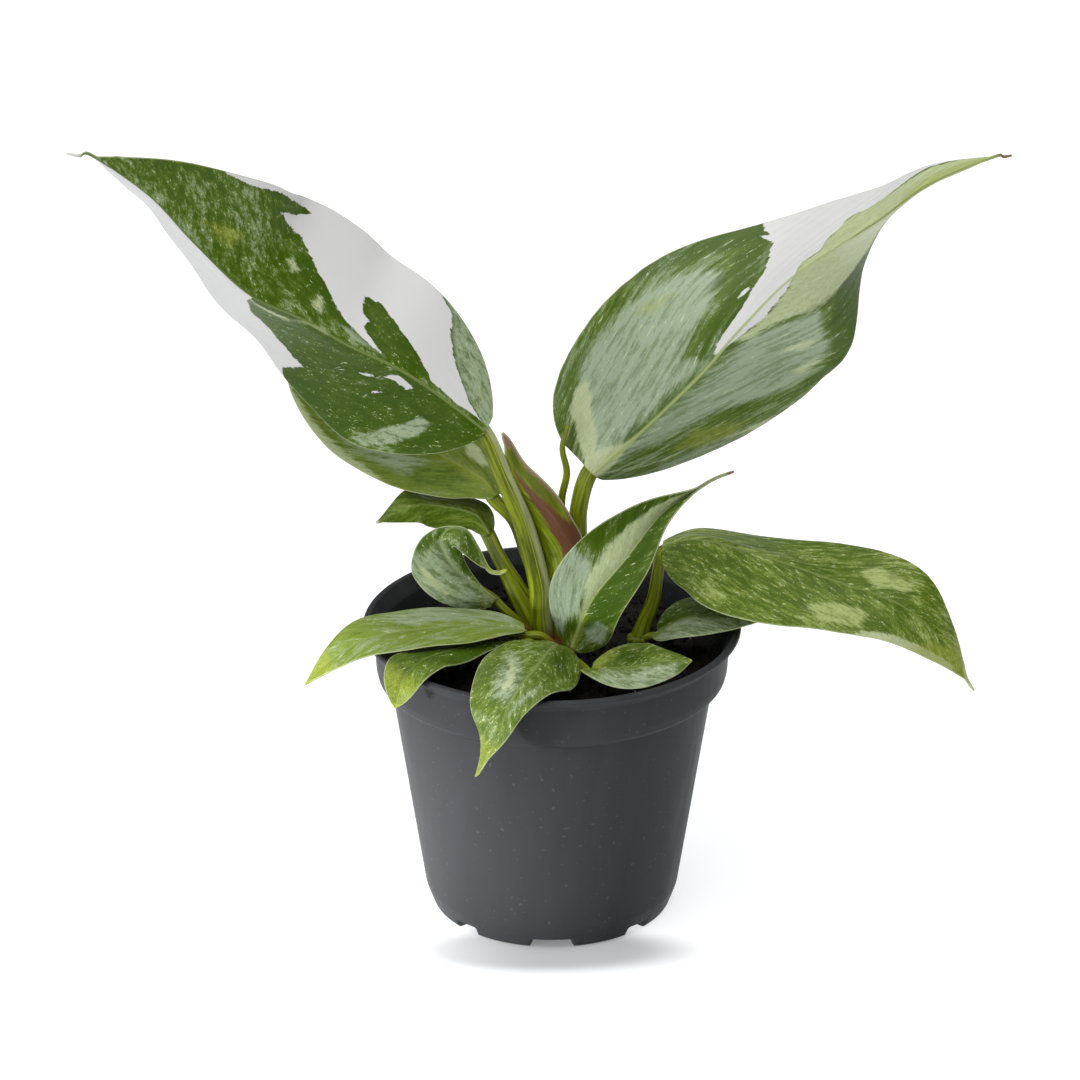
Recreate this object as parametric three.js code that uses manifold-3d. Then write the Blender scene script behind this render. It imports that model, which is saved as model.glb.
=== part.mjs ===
// A young variegated philodendron in a 12 cm nursery pot.
// Millimetres, +Z up. The origin is the middle of the pot's underside, on the surface it stands on.
// The viewer stands at -Y: +X is to the right and +Y is away.

import * as THREE from 'three';
import { mergeVertices } from 'three/addons/utils/BufferGeometryUtils.js';
import Module from 'manifold-3d';

const wasm = await Module();
wasm.setup();

// Pot
const POT_HEIGHT = 96;
const LIP_RADIUS = 59.6;
const LIP_WIDTH = 2;
const LIP_DEPTH = 1.8;
const LIP_ROUND = 0.5;
const COLLAR_RADIUS = 56;
const COLLAR_DEPTH = 19;
const BODY_TOP_RADIUS = 51;
const BODY_FOOT_RADIUS = 40.2;
const WALL = 1.4;
const COLLAR_DRAFT = 0.6;
const COLLAR_BEND = 4.5;
const COLLAR_INNER_RADIUS = COLLAR_RADIUS - COLLAR_DRAFT - WALL;
const FOOT_HEIGHT = 3.4;
const FOOT_OUTER_RADIUS = 37.8;
const FOOT_INNER_RADIUS = 32;
const FOOT_COUNT = 8;
const WIDE_NOTCH = 13;
const NARROW_NOTCH = 8;
const PAD_RADIUS = 10;
const DRAIN_COUNT = 6;
const DRAIN_RADIUS = 3.5;
const DRAIN_CIRCLE = 21;
const DRAIN_SIDES = 12;
const POT_SEGMENTS = 48;

// Soil
const SOIL_LEVEL = 85;
const SOIL_RELIEF = 1.2;
const SOIL_SEGMENTS = 48;
const SOIL_RINGS = 6;
const SOIL_SHOULDER = 1;

// Clearance that a cut piece keeps to its neighbour
const GAP = 0.3;

// Leaves
const BLADE = 0.9;
const TIP_HALF_WIDTH = 0.7;
const BASE_START = 0.006;
const ROW_CROWDING = 1.3;
const RIB_REACH = 0.45;
const RIB_THINNING = 0.6;
const RIB_STATIONS = [0, 0.15, 0.3, 0.42];
const STALK_STEPS = 14;
const STALK_SIDES = 6;
const STEM_STEPS = 8;
const STEM_SIDES = 14;
const STEM_BOW = 0.4;
const SPIKE_STEPS = 20;
const SPIKE_SIDES = 8;

// Curves and meshes
const CURVE_TENSION = 0.5;
const ARC_DIVISIONS = 400;
const LEAST_CURL = 1e-3;
const LEAST_SINE = 0.5;
const MERGE_DISTANCE = 1e-4;

const COLOURS = {
  pot: 0x4a4d50,
  soil: 0x17130f,
  stem: 0x6f7a2c,
  sheath: 0x7d8f2a,
  spike: 0x9fb23c,
  dark: 0x3f6b1f,
  pale: 0x86a54e,
  mid: 0x5a8432,
};

// Stems: where each stands, the heights of its foot and top, and the radius at each
const STEMS = {
  stem_main: { at: [0, 8], foot: 58, top: 94, radii: [7, 5] },
  stem_front: { at: [3, -7], foot: 62, top: 91, radii: [5, 3.6] },
  stem_right: { at: [27, 6], foot: 64, top: 90, radii: [4.5, 3.4] },
};

// Each leaf: its stalk and midrib as points chosen by hand, the stalk's radii, and per side the
// greatest half width, where it lies, how full the base is and how sharp the tip is. Fold is the
// angle at the midrib and curl the further bend out to the margin, in degrees along the blade.
// Left and right are as seen from the base towards the tip with the upper face, `face`, up.
const LEAVES = {
  leaf_upper_left: {
    colour: 'dark', rows: 20, columns: 5,
    stalk: [[-3, 4.5, 87.4], [-3.5, 2, 96], [-4, 2, 108], [-8.5, 3, 127], [-14.8, 4, 143]],
    stalkRadii: [3.8, 3.5, 2.9],
    rib: [[-20, 4, 159], [-35, 3, 172], [-48, 1, 182], [-63, 0, 190], [-78, -1, 199.5], [-94, -3, 208.5],
      [-110, -5, 226], [-123, -7, 242], [-140, -9, 256]],
    tail: [[-144, -9, 256], [-148, -9, 257]],
    face: [0.2, -0.8, 0.5],
    left: {
      width: 33, widest: 0.3, shoulder: 0.75, taper: 1.0,
      fold: [-20, -52, -84, -94, -89], curl: [20, 0, 0],
    },
    right: {
      width: 38, widest: 0.46, shoulder: 0.52, taper: 1.15,
      fold: [-22, -16, -16, -8, 2, 14, 25], curl: [0, 0, 20],
    },
  },
  leaf_upper_right: {
    colour: 'dark', rows: 20, columns: 5,
    stalk: [[4, 9.5, 87.6], [5.5, 10, 96], [6.5, 10, 106], [8, 9.5, 120], [8.5, 9, 132]],
    stalkRadii: [3.6, 3.2, 2.8],
    rib: [[12, 6.5, 143], [27, 5, 158], [46, 3, 179], [58, 1, 195], [73, -2, 213], [91, -6, 228],
      [100, -8, 235], [115, -11, 248], [134, -14, 258]],
    tail: [[137, -14, 258], [139.5, -14, 258.5]],
    face: [-0.2, -0.8, 0.5],
    left: {
      width: 37, widest: 0.27, shoulder: 0.33, taper: 0.95,
      fold: [12, 18, -2, -42, -52, -54, -54], curl: [20, 8, 0],
    },
    right: {
      width: 38, widest: 0.34, shoulder: 0.58, taper: 1.6,
      fold: [-62, -60, -57, -50, -45, -78, -94, -94, -60], curl: [-15, -10, -30],
    },
  },
  leaf_behind: {
    colour: 'mid', rows: 14, columns: 4,
    stalk: [[-2, 11.5, 88.2], [-3, 13, 98], [-8, 13.5, 114], [-12, 14, 125]],
    stalkRadii: [2.8, 2.4, 2.2],
    rib: [[-17, 14, 133], [-21.5, 17, 137.5], [-28.5, 20, 141], [-40, 24, 146], [-54.5, 27, 153.5],
      [-70, 28, 166], [-83, 28, 180.5]],
    tail: [],
    face: [0.1, -0.8, 0.6],
    left: {
      width: 17, widest: 0.55, shoulder: 0.62, taper: 0.7,
      fold: [-15, -12, -10, 0, 0], curl: [0, 0, 0],
    },
    right: {
      width: 24, widest: 0.32, shoulder: 0.4, taper: 1,
      fold: [-50, -45, -40, -35, -30], curl: [0, 0, 0],
    },
  },
  leaf_front_upright: {
    colour: 'dark', rows: 14, columns: 4,
    stalk: [[3.5, -7, 86.8], [5, -8.5, 89]],
    stalkRadii: [2.6, 2.2, 2.0],
    rib: [[6, -10, 91], [8, -11, 98], [13, -14, 111], [23, -18, 126], [34, -22, 143], [46, -25, 153.5]],
    tail: [[51, -26, 157], [56, -26, 159]],
    face: [-0.3, -0.9, 0.2],
    left: {
      width: 15, widest: 0.41, shoulder: 0.5, taper: 1.0,
      fold: [-15, 10, 15, 38, 60], curl: [0, 0, 0],
    },
    right: {
      width: 15, widest: 0.41, shoulder: 0.5, taper: 1.0,
      fold: [0, 28, 45, 52, 70], curl: [0, 0, 0],
    },
  },
  leaf_right: {
    colour: 'mid', rows: 16, columns: 4,
    stalk: [[27.5, 6, 87.5], [29, 7, 92], [32, 8, 100], [33.5, 9.5, 110]],
    stalkRadii: [2.4, 2.0, 1.8],
    rib: [[34, 10, 118], [46, 8, 121], [64, 4, 118], [87, 0, 111], [109, -4, 104], [124, -6, 91],
      [131, -7, 79]],
    tail: [[133, -8, 76]],
    face: [0, -0.45, 0.9],
    left: {
      width: 27, widest: 0.48, shoulder: 0.5, taper: 1.05,
      fold: [-32, -38, -27, -14, -40], curl: [-6, 0, -8],
    },
    right: {
      width: 27, widest: 0.33, shoulder: 0.41, taper: 1.0,
      fold: [-6, -2, 12, 13, 9], curl: [0, 0, 0],
    },
  },
  leaf_low_right: {
    colour: 'mid', rows: 9, columns: 3,
    stalk: [[28, 5, 88], [30.5, 4.5, 89]],
    stalkRadii: [1.8, 1.5, 1.3],
    rib: [[33, 4, 91], [42, 0, 97.5], [51, -4, 100.5], [59, -7, 101], [64.6, -9, 100.3]],
    tail: [],
    face: [0, -0.4, 0.9],
    left: {
      width: 14, widest: 0.38, shoulder: 0.5, taper: 1.0,
      fold: [0, -15, -20, -25, -25], curl: [0, 0, 0],
    },
    right: {
      width: 14, widest: 0.38, shoulder: 0.5, taper: 1.0,
      fold: [25, 20, 15, 8, 0], curl: [0, 0, 0],
    },
  },
  leaf_small_front_right: {
    colour: 'pale', rows: 9, columns: 3,
    stalk: [[4, -8.5, 88.5], [7, -13.1, 88.7], [9.5, -18, 89.2]],
    stalkRadii: [1.8, 1.5, 1.3],
    rib: [[12, -24, 90.8], [19, -30, 94], [26, -35, 97], [34, -36, 99], [43.5, -33, 98]],
    tail: [],
    face: [0, -0.4, 0.9],
    left: {
      width: 12, widest: 0.38, shoulder: 0.5, taper: 1.0,
      fold: [10, 0, -10, -13, -5], curl: [0, 0, 0],
    },
    right: {
      width: 12, widest: 0.38, shoulder: 0.5, taper: 1.0,
      fold: [40, 30, 10, 0, -5], curl: [0, 0, 0],
    },
  },
  leaf_small_front: {
    colour: 'pale', rows: 14, columns: 4,
    stalk: [[2.8, -8.5, 88.6], [2.5, -11, 91.5]],
    stalkRadii: [1.8, 1.5, 1.3],
    rib: [[2, -14, 95], [-1, -28, 99], [-5, -43, 100.5], [-10, -56, 99.5], [-14, -63, 95], [-17, -66, 86],
      [-23.5, -67, 74.5]],
    tail: [],
    face: [0, -0.6, 0.8],
    left: {
      width: 13.5, widest: 0.3, shoulder: 0.45, taper: 2.1,
      fold: [-10, -25, -18, 12, 5, -10], curl: [0, 0, 0],
    },
    right: {
      width: 16, widest: 0.44, shoulder: 0.5, taper: 0.97,
      fold: [-7, -5, -9, -13, -50], curl: [0, 0, 0],
    },
  },
  leaf_long_left: {
    colour: 'pale', rows: 12, columns: 3,
    stalk: [[1.5, -7, 89], [-3, -7.5, 94.5]],
    stalkRadii: [2.0, 1.7, 1.4],
    rib: [[-8, -8, 97], [-23, -11, 100], [-41, -15, 100.5], [-57, -20, 99.5], [-68, -23, 94],
      [-77, -25, 86]],
    tail: [],
    face: [0, -0.5, 0.85],
    left: {
      width: 13, widest: 0.38, shoulder: 0.5, taper: 1.0,
      fold: [45, 30, 27, 23, 28], curl: [0, 0, 0],
    },
    right: {
      width: 13, widest: 0.38, shoulder: 0.5, taper: 1.0,
      fold: [-24, -28, -24, -13, -18], curl: [0, 0, 0],
    },
  },
  leaf_low_left: {
    colour: 'pale', rows: 12, columns: 3,
    stalk: [[1.5, -8.5, 87.8], [-2.5, -11, 91], [-7, -13, 95]],
    stalkRadii: [1.6, 1.4, 1.2],
    rib: [[-11, -14, 96.2], [-25, -20, 97.5], [-37, -30, 98.3], [-43, -38, 98], [-46.5, -44, 95.5],
      [-48.5, -47, 88.2]],
    tail: [],
    face: [0, -0.5, 0.85],
    left: {
      width: 9, widest: 0.66, shoulder: 1.1, taper: 0.8,
      fold: [0, 5, 10, 20, 20, 10], curl: [0, 0, 0],
    },
    right: {
      width: 9, widest: 0.6, shoulder: 0.9, taper: 0.8,
      fold: [-45, -45, -35, -5, 10], curl: [0, 0, 0],
    },
  },
  leaf_top_left_small: {
    colour: 'mid', rows: 12, columns: 3,
    stalk: [[-3.5, 9, 88.4], [-7.5, 9, 96], [-12, 10.5, 104], [-16.5, 13, 112]],
    stalkRadii: [4.2, 3.5, 2.4],
    rib: [[-19.5, 15, 119.5], [-23.5, 16, 125.5], [-29.5, 17, 127.5], [-38, 17, 129], [-43, 16, 129],
      [-55.5, 14, 124]],
    tail: [],
    face: [0, -0.7, 0.7],
    left: {
      width: 8.5, widest: 0.4, shoulder: 0.5, taper: 1.2,
      fold: [-50, -48, -48, -48, -45], curl: [0, 0, 0],
    },
    right: {
      width: 11, widest: 0.36, shoulder: 0.5, taper: 1,
      fold: [-40, -45, -49, -49, -49, -22, -30, -45], curl: [0, 0, 0],
    },
  },
  leaf_curled_left: {
    colour: 'mid', rows: 18, columns: 3,
    stalk: [[-4.5, 6.5, 89], [-9, 6, 92], [-14, 5.5, 97]],
    stalkRadii: [1.7, 1.5, 1.3],
    rib: [[-17.5, 5, 101], [-22.5, 4, 105.5], [-27.5, 2, 110.5], [-31, 0, 115], [-34, -2, 121],
      [-35, -4, 126], [-33, -5.5, 130], [-30, -7, 131.5], [-26.5, -8, 130.5], [-23.5, -8.5, 125.5],
      [-20, -9, 118.5]],
    tail: [[-17, -9, 117], [-14, -9, 118]],
    face: [0, -0.9, 0.4],
    left: {
      width: 12, widest: 0.4, shoulder: 0.5, taper: 12,
      fold: [-10, -10, -10, 0, 0], curl: [0, 0, 0],
    },
    right: {
      width: 6.5, widest: 0.66, shoulder: 1.6, taper: 0.8,
      fold: [0, 0, 10, 10, 10], curl: [0, 0, 0],
    },
  },
};

// The papery sheath round the newest shoot, folded along a keel
const SHEATH = {
  rows: 14, columns: 3,
  rib: [[3, 2.5, 88.5], [6, 0, 97], [8, -1.5, 108], [7, -1.5, 121], [3, -1, 129], [-2, 0.5, 136], [-9, 3, 143],
    [-12.5, 5, 148], [-15.5, 8, 157.5]],
  tail: [],
  face: [0.3, -0.95, 0],
  left: {
    width: 15, widest: 0.35, shoulder: 0.3, taper: 1.7,
    fold: [-40, -40, -40, -40, -40], curl: [-20, -20, -10],
  },
  right: {
    width: 5.5, widest: 0.68, shoulder: 0.6, taper: 0.6,
    fold: [-40, -35, -25, -20, -20], curl: [-20, -20, -10],
  },
};

// The thin rolled tip of the next leaf
const SPIKE = {
  points: [[2, 9.5, 91], [2.8, 9.5, 108], [3.4, 9.6, 122], [3.0, 9.2, 134], [4.6, 7.5, 144], [3.2, 6, 153],
    [4.8, 5.2, 161]],
  radii: [1.6, 1.3, 1.1, 0.7],
};

function lerpList(values, t) {
  const spline = values.map((v) => new THREE.Vector3(v, 0, 0));
  return new THREE.CatmullRomCurve3(spline, false, 'catmullrom', CURVE_TENSION).getPoint(t).x;
}

function curveOf(points) {
  const vectors = points.map((p) => new THREE.Vector3(...p));
  const curve = new THREE.CatmullRomCurve3(vectors, false, 'catmullrom', CURVE_TENSION);
  curve.arcLengthDivisions = ARC_DIVISIONS;
  return curve;
}

// Share of the greatest half width at t: a round shoulder, then a taper to the tip
function outline(t, side) {
  if (t < side.widest) {
    const left = 1 - t / side.widest;
    return (1 - left * left) ** side.shoulder;
  }
  const past = (t - side.widest) / (1 - side.widest);
  return (1 - past * past) ** side.taper;
}

// Midrib point, direction, upper face normal and rightward vector at t
function ribFrame(curve, t, face) {
  const point = curve.getPointAt(t);
  const along = curve.getTangentAt(t).normalize();
  const up = new THREE.Vector3(...face);
  up.addScaledVector(along, -up.dot(along)).normalize();
  const right = new THREE.Vector3().crossVectors(along, up);
  return { point, along, up, right };
}

// A point of the blade's middle surface: s runs from -1 at the left margin to 1 at the right
function bladePoint(frame, spec, t, s) {
  const side = s < 0 ? spec.left : spec.right;
  const reach = Math.abs(s);
  const width = Math.max(TIP_HALF_WIDTH, side.width * outline(t, side));
  const fold = THREE.MathUtils.degToRad(lerpList(side.fold, t));
  const curl = THREE.MathUtils.degToRad(lerpList(side.curl, t)) + LEAST_CURL;
  const across = (width * (Math.sin(fold + curl * reach) - Math.sin(fold))) / curl;
  const lift = (width * (Math.cos(fold) - Math.cos(fold + curl * reach))) / curl;
  const point = frame.point.clone();
  point.addScaledVector(frame.right, Math.sign(s) * across);
  point.addScaledVector(frame.up, lift);
  return point;
}

// A closed mesh from rows of an upper and a lower sheet, split alike on both faces
function closedSheet(upper, lower) {
  const rows = upper.length;
  const columns = upper[0].length;
  const positions = [...upper.flat(), ...lower.flat()].flatMap((p) => p.toArray());
  const index = [];
  const top = (i, j) => i * columns + j;
  const bottom = (i, j) => rows * columns + i * columns + j;
  for (let i = 0; i + 1 < rows; i++) {
    for (let j = 0; j + 1 < columns; j++) {
      index.push(top(i, j), top(i, j + 1), top(i + 1, j + 1), top(i, j), top(i + 1, j + 1), top(i + 1, j));
      index.push(bottom(i, j), bottom(i + 1, j + 1), bottom(i, j + 1));
      index.push(bottom(i, j), bottom(i + 1, j), bottom(i + 1, j + 1));
    }
  }
  const wall = (a, b) => {
    index.push(top(...a), bottom(...b), top(...b), top(...a), bottom(...a), bottom(...b));
  };
  for (let i = 0; i + 1 < rows; i++) {
    wall([i + 1, 0], [i, 0]);
    wall([i, columns - 1], [i + 1, columns - 1]);
  }
  for (let j = 0; j + 1 < columns; j++) {
    wall([0, j], [0, j + 1]);
    wall([rows - 1, j + 1], [rows - 1, j]);
  }
  const geometry = new THREE.BufferGeometry();
  geometry.setAttribute('position', new THREE.Float32BufferAttribute(positions, 3));
  geometry.setIndex(index);
  return geometry;
}

function bladeGeometry(spec, thickness) {
  const { rows, columns } = spec;
  const curve = curveOf([...spec.rib, ...spec.tail]);
  const share = curveOf(spec.rib).getLength() / curve.getLength();
  const grid = [];
  for (let i = 0; i <= rows; i++) {
    const t = BASE_START + (1 - BASE_START) * (i / rows) ** ROW_CROWDING;
    const frame = ribFrame(curve, t, spec.face);
    const row = [];
    for (let j = -columns; j <= columns; j++) {
      row.push(bladePoint(frame, spec, Math.min(1, t / share), j / columns));
    }
    grid.push(row);
  }
  const upper = [];
  const lower = [];
  grid.forEach((row, i) => {
    upper.push([]);
    lower.push([]);
    row.forEach((point, j) => {
      const before = grid[Math.max(0, i - 1)][j];
      const after = grid[Math.min(rows, i + 1)][j];
      const lengthwise = new THREE.Vector3().subVectors(after, before);
      const rightward = row[Math.min(2 * columns, j + 1)];
      const leftward = row[Math.max(0, j - 1)];
      const sideways = new THREE.Vector3().subVectors(rightward, leftward);
      const normal = new THREE.Vector3().crossVectors(sideways, lengthwise).normalize();
      upper[i].push(point.clone().addScaledVector(normal, thickness / 2));
      lower[i].push(point.clone().addScaledVector(normal, -thickness / 2));
    });
  });
  return closedSheet(upper, lower);
}

// A round rod of changing radius along a smooth line, closed at both ends, its flats set out by grow
function rodGeometry(points, radii, sides, steps, grow) {
  const curve = curveOf(points);
  const frames = curve.computeFrenetFrames(steps, false);
  const positions = [];
  const index = [];
  for (let i = 0; i <= steps; i++) {
    const centre = curve.getPointAt(i / steps);
    const radius = lerpList(radii, i / steps) + grow / Math.cos(Math.PI / sides);
    for (let k = 0; k < sides; k++) {
      const angle = (2 * Math.PI * k) / sides;
      const point = centre.clone();
      point.addScaledVector(frames.normals[i], radius * Math.cos(angle));
      point.addScaledVector(frames.binormals[i], radius * Math.sin(angle));
      positions.push(...point.toArray());
    }
  }
  positions.push(...curve.getPointAt(0).toArray(), ...curve.getPointAt(1).toArray());
  const foot = (steps + 1) * sides;
  for (let k = 0; k < sides; k++) {
    const next = (k + 1) % sides;
    for (let i = 0; i < steps; i++) {
      const a = i * sides + k;
      const b = i * sides + next;
      index.push(a, b, b + sides, a, b + sides, a + sides);
    }
    index.push(foot, next, k);
    index.push(foot + 1, steps * sides + k, steps * sides + next);
  }
  const geometry = new THREE.BufferGeometry();
  geometry.setAttribute('position', new THREE.Float32BufferAttribute(positions, 3));
  geometry.setIndex(index);
  return geometry;
}

function toSolid(geometry) {
  const bare = geometry.clone();
  bare.deleteAttribute('normal');
  bare.deleteAttribute('uv');
  const merged = mergeVertices(bare, MERGE_DISTANCE);
  return new wasm.Manifold(new wasm.Mesh({
    numProp: 3,
    vertProperties: new Float32Array(merged.attributes.position.array),
    triVerts: new Uint32Array(merged.index.array),
  }));
}

function toGeometry(solid) {
  const mesh = solid.getMesh();
  const geometry = new THREE.BufferGeometry();
  geometry.setAttribute('position', new THREE.Float32BufferAttribute(mesh.vertProperties, 3));
  geometry.setIndex(Array.from(mesh.triVerts));
  return geometry;
}

// Stalk that runs on as the midrib's swelling, tucked between the two halves on the underside
function stalkGeometry(spec, grow) {
  const curve = curveOf(spec.rib);
  const slim = spec.stalkRadii[2];
  const under = RIB_STATIONS.map((t) => {
    const frame = ribFrame(curve, t, spec.face);
    const left = THREE.MathUtils.degToRad(lerpList(spec.left.fold, t));
    const right = THREE.MathUtils.degToRad(lerpList(spec.right.fold, t));
    const half = (Math.PI + left + right) / 2;
    const lean = (right - left) / 2;
    const depth = (slim * (1 - (RIB_THINNING * t) / RIB_REACH)) / Math.max(LEAST_SINE, Math.sin(half));
    frame.point.addScaledVector(frame.up, -depth * Math.cos(lean));
    return frame.point.addScaledVector(frame.right, depth * Math.sin(lean)).toArray();
  });
  const radii = [...spec.stalkRadii, slim, slim / 3];
  return rodGeometry([...spec.stalk, ...under], radii, STALK_SIDES, STALK_STEPS, grow);
}

function leafSolid(spec) {
  return toSolid(bladeGeometry(spec, BLADE)).add(toSolid(stalkGeometry(spec, 0)));
}

function stemGeometry(spec, grow) {
  const [x, y] = spec.at;
  const middle = (spec.foot + spec.top) / 2;
  const points = [[x, y, spec.foot - grow], [x + STEM_BOW, y, middle], [x, y, spec.top + grow]];
  return rodGeometry(points, [spec.radii[0], spec.radii[0], spec.radii[1]], STEM_SIDES, STEM_STEPS, grow);
}

// The wall's outer and inner bends as radius and height, or the inner ones alone, moved in by inset
function potProfile(inset) {
  const collarFoot = POT_HEIGHT - COLLAR_DEPTH;
  const outer = [
    [FOOT_OUTER_RADIUS + 1.2, FOOT_HEIGHT + 0.6],
    [BODY_FOOT_RADIUS, FOOT_HEIGHT + 4],
    [BODY_TOP_RADIUS, collarFoot],
    [BODY_TOP_RADIUS + 2, collarFoot + 0.4],
    [COLLAR_RADIUS - 1.2, collarFoot + 2],
    [COLLAR_RADIUS - COLLAR_DRAFT, collarFoot + COLLAR_BEND],
    [COLLAR_RADIUS, POT_HEIGHT - COLLAR_BEND],
    [LIP_RADIUS - LIP_WIDTH + 0.2, POT_HEIGHT - LIP_DEPTH - LIP_ROUND],
    [LIP_RADIUS, POT_HEIGHT - LIP_DEPTH + 0.2],
    [LIP_RADIUS, POT_HEIGHT - LIP_ROUND],
    [LIP_RADIUS - LIP_ROUND, POT_HEIGHT],
  ];
  const inner = [
    [LIP_RADIUS - LIP_WIDTH, POT_HEIGHT],
    [COLLAR_RADIUS - WALL, POT_HEIGHT - COLLAR_BEND],
    [COLLAR_INNER_RADIUS, collarFoot + COLLAR_BEND + 1],
    [COLLAR_INNER_RADIUS - 0.6, collarFoot + 3.4],
    [BODY_TOP_RADIUS + 0.8, collarFoot + 1.8],
    [BODY_TOP_RADIUS - WALL, collarFoot + 0.8],
    [BODY_FOOT_RADIUS - WALL, FOOT_HEIGHT + 5],
    [BODY_FOOT_RADIUS - 4, FOOT_HEIGHT + WALL + 0.4],
  ];
  if (inset > 0) {
    return inner.map(([r, z]) => [r - inset, z + inset]);
  }
  return [...outer, ...inner];
}

function lathe(points, segments) {
  const geometry = new THREE.LatheGeometry(points.map(([r, z]) => new THREE.Vector2(r, z)), segments);
  geometry.rotateX(Math.PI / 2);
  return geometry;
}

// The shell with its foot ring notched, wide and narrow by turns, and the drain holes through its floor
function potSolid() {
  const floorTop = FOOT_HEIGHT + WALL;
  const profile = [
    [0, 0],
    [PAD_RADIUS, 0],
    [PAD_RADIUS + 1, FOOT_HEIGHT],
    [FOOT_INNER_RADIUS, FOOT_HEIGHT],
    [FOOT_INNER_RADIUS + 0.5, 0],
    [FOOT_OUTER_RADIUS - 1, 0],
    [FOOT_OUTER_RADIUS, 0.8],
    ...potProfile(0),
    [0, floorTop],
  ];
  let pot = toSolid(lathe(profile, POT_SEGMENTS));
  for (let i = 0; i < FOOT_COUNT; i++) {
    const width = i % 2 === 0 ? WIDE_NOTCH : NARROW_NOTCH;
    const depth = 2 * (FOOT_OUTER_RADIUS - FOOT_INNER_RADIUS);
    const notch = new THREE.BoxGeometry(width, depth, 2 * FOOT_HEIGHT);
    notch.translate(0, -(FOOT_INNER_RADIUS + FOOT_OUTER_RADIUS) / 2, 0);
    notch.rotateZ((2 * Math.PI * i) / FOOT_COUNT);
    pot = pot.subtract(toSolid(notch));
  }
  for (let i = 0; i < DRAIN_COUNT; i++) {
    const drain = new THREE.CylinderGeometry(DRAIN_RADIUS, DRAIN_RADIUS, 3 * floorTop, DRAIN_SIDES);
    drain.rotateX(Math.PI / 2);
    drain.translate(0, -DRAIN_CIRCLE, floorTop / 2);
    drain.rotateZ((2 * Math.PI * (i + 0.5)) / DRAIN_COUNT);
    pot = pot.subtract(toSolid(drain));
  }
  return pot;
}

// Height of the soil's crumbly surface
function soilHeight(x, y) {
  const lumps = Math.sin(x * 0.31 + 1.3) * Math.cos(y * 0.27) + 0.7 * Math.sin(x * 0.73 - y * 0.61);
  const crumbs = 0.5 * Math.sin(x * 1.7 + y * 0.4) * Math.sin(y * 1.9 - x * 0.3);
  return SOIL_LEVEL + SOIL_RELIEF * 0.5 * (lumps + crumbs);
}

function soilSolid(stemCutters) {
  const wall = potProfile(GAP).filter(([, z]) => z < SOIL_LEVEL);
  const collar = COLLAR_INNER_RADIUS - GAP;
  const edge = collar - SOIL_SHOULDER;
  const profile = [[0, wall.at(-1)[1]], ...wall.reverse(), [collar, SOIL_LEVEL - 2 * SOIL_SHOULDER]];
  for (let ring = SOIL_RINGS; ring >= 0; ring--) {
    profile.push([(edge * ring) / SOIL_RINGS, SOIL_LEVEL]);
  }
  const geometry = lathe(profile, SOIL_SEGMENTS);
  const position = geometry.attributes.position;
  for (let i = 0; i < position.count; i++) {
    if (position.getZ(i) > SOIL_LEVEL - MERGE_DISTANCE) {
      position.setZ(i, soilHeight(position.getX(i), position.getY(i)));
    }
  }
  let soil = toSolid(geometry);
  for (const cutter of stemCutters) {
    soil = soil.subtract(cutter);
  }
  return soil;
}

function meshOf(name, geometry, colour, roughness) {
  const material = new THREE.MeshStandardMaterial({ color: COLOURS[colour], roughness, metalness: 0 });
  material.side = THREE.DoubleSide;
  const mesh = new THREE.Mesh(geometry, material);
  mesh.name = name;
  return mesh;
}

// The largest body left after the cutters are taken away
function cutClear(solid, cutters) {
  const rest = cutters.reduce((body, cutter) => body.subtract(cutter), solid);
  return rest.decompose().sort((a, b) => b.volume() - a.volume())[0];
}

function build() {
  const plant = new THREE.Group();
  const stemCutters = Object.values(STEMS).map((spec) => toSolid(stemGeometry(spec, GAP)));
  const cutters = [...stemCutters];
  plant.add(meshOf('pot', toGeometry(potSolid()), 'pot', 0.5));
  for (const [name, spec] of Object.entries(STEMS)) {
    plant.add(meshOf(name, stemGeometry(spec, 0), 'stem', 0.5));
  }
  plant.add(meshOf('soil', toGeometry(soilSolid(stemCutters)), 'soil', 0.95));
  for (const [name, spec] of Object.entries(LEAVES)) {
    plant.add(meshOf(name, toGeometry(cutClear(leafSolid(spec), cutters)), spec.colour, 0.45));
    cutters.push(toSolid(stalkGeometry(spec, GAP)));
  }
  const sheath = cutClear(toSolid(bladeGeometry(SHEATH, BLADE)), cutters);
  plant.add(meshOf('sheath', toGeometry(sheath), 'sheath', 0.5));
  const rod = toSolid(rodGeometry(SPIKE.points, SPIKE.radii, SPIKE_SIDES, SPIKE_STEPS, 0));
  const spike = cutClear(rod, cutters);
  plant.add(meshOf('leaf_spike', toGeometry(spike), 'spike', 0.5));
  return plant;
}

export default build();
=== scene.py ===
"""A young variegated philodendron in a nursery pot: its fine pieces, finishes, floor, light and camera.

Shapes are worked out in millimetres and become metres by MM. +Z is up, +X is to the viewer's right
and +Y is away. The pot stands on z = 0 with its axis at the origin.
"""

import math

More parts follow.
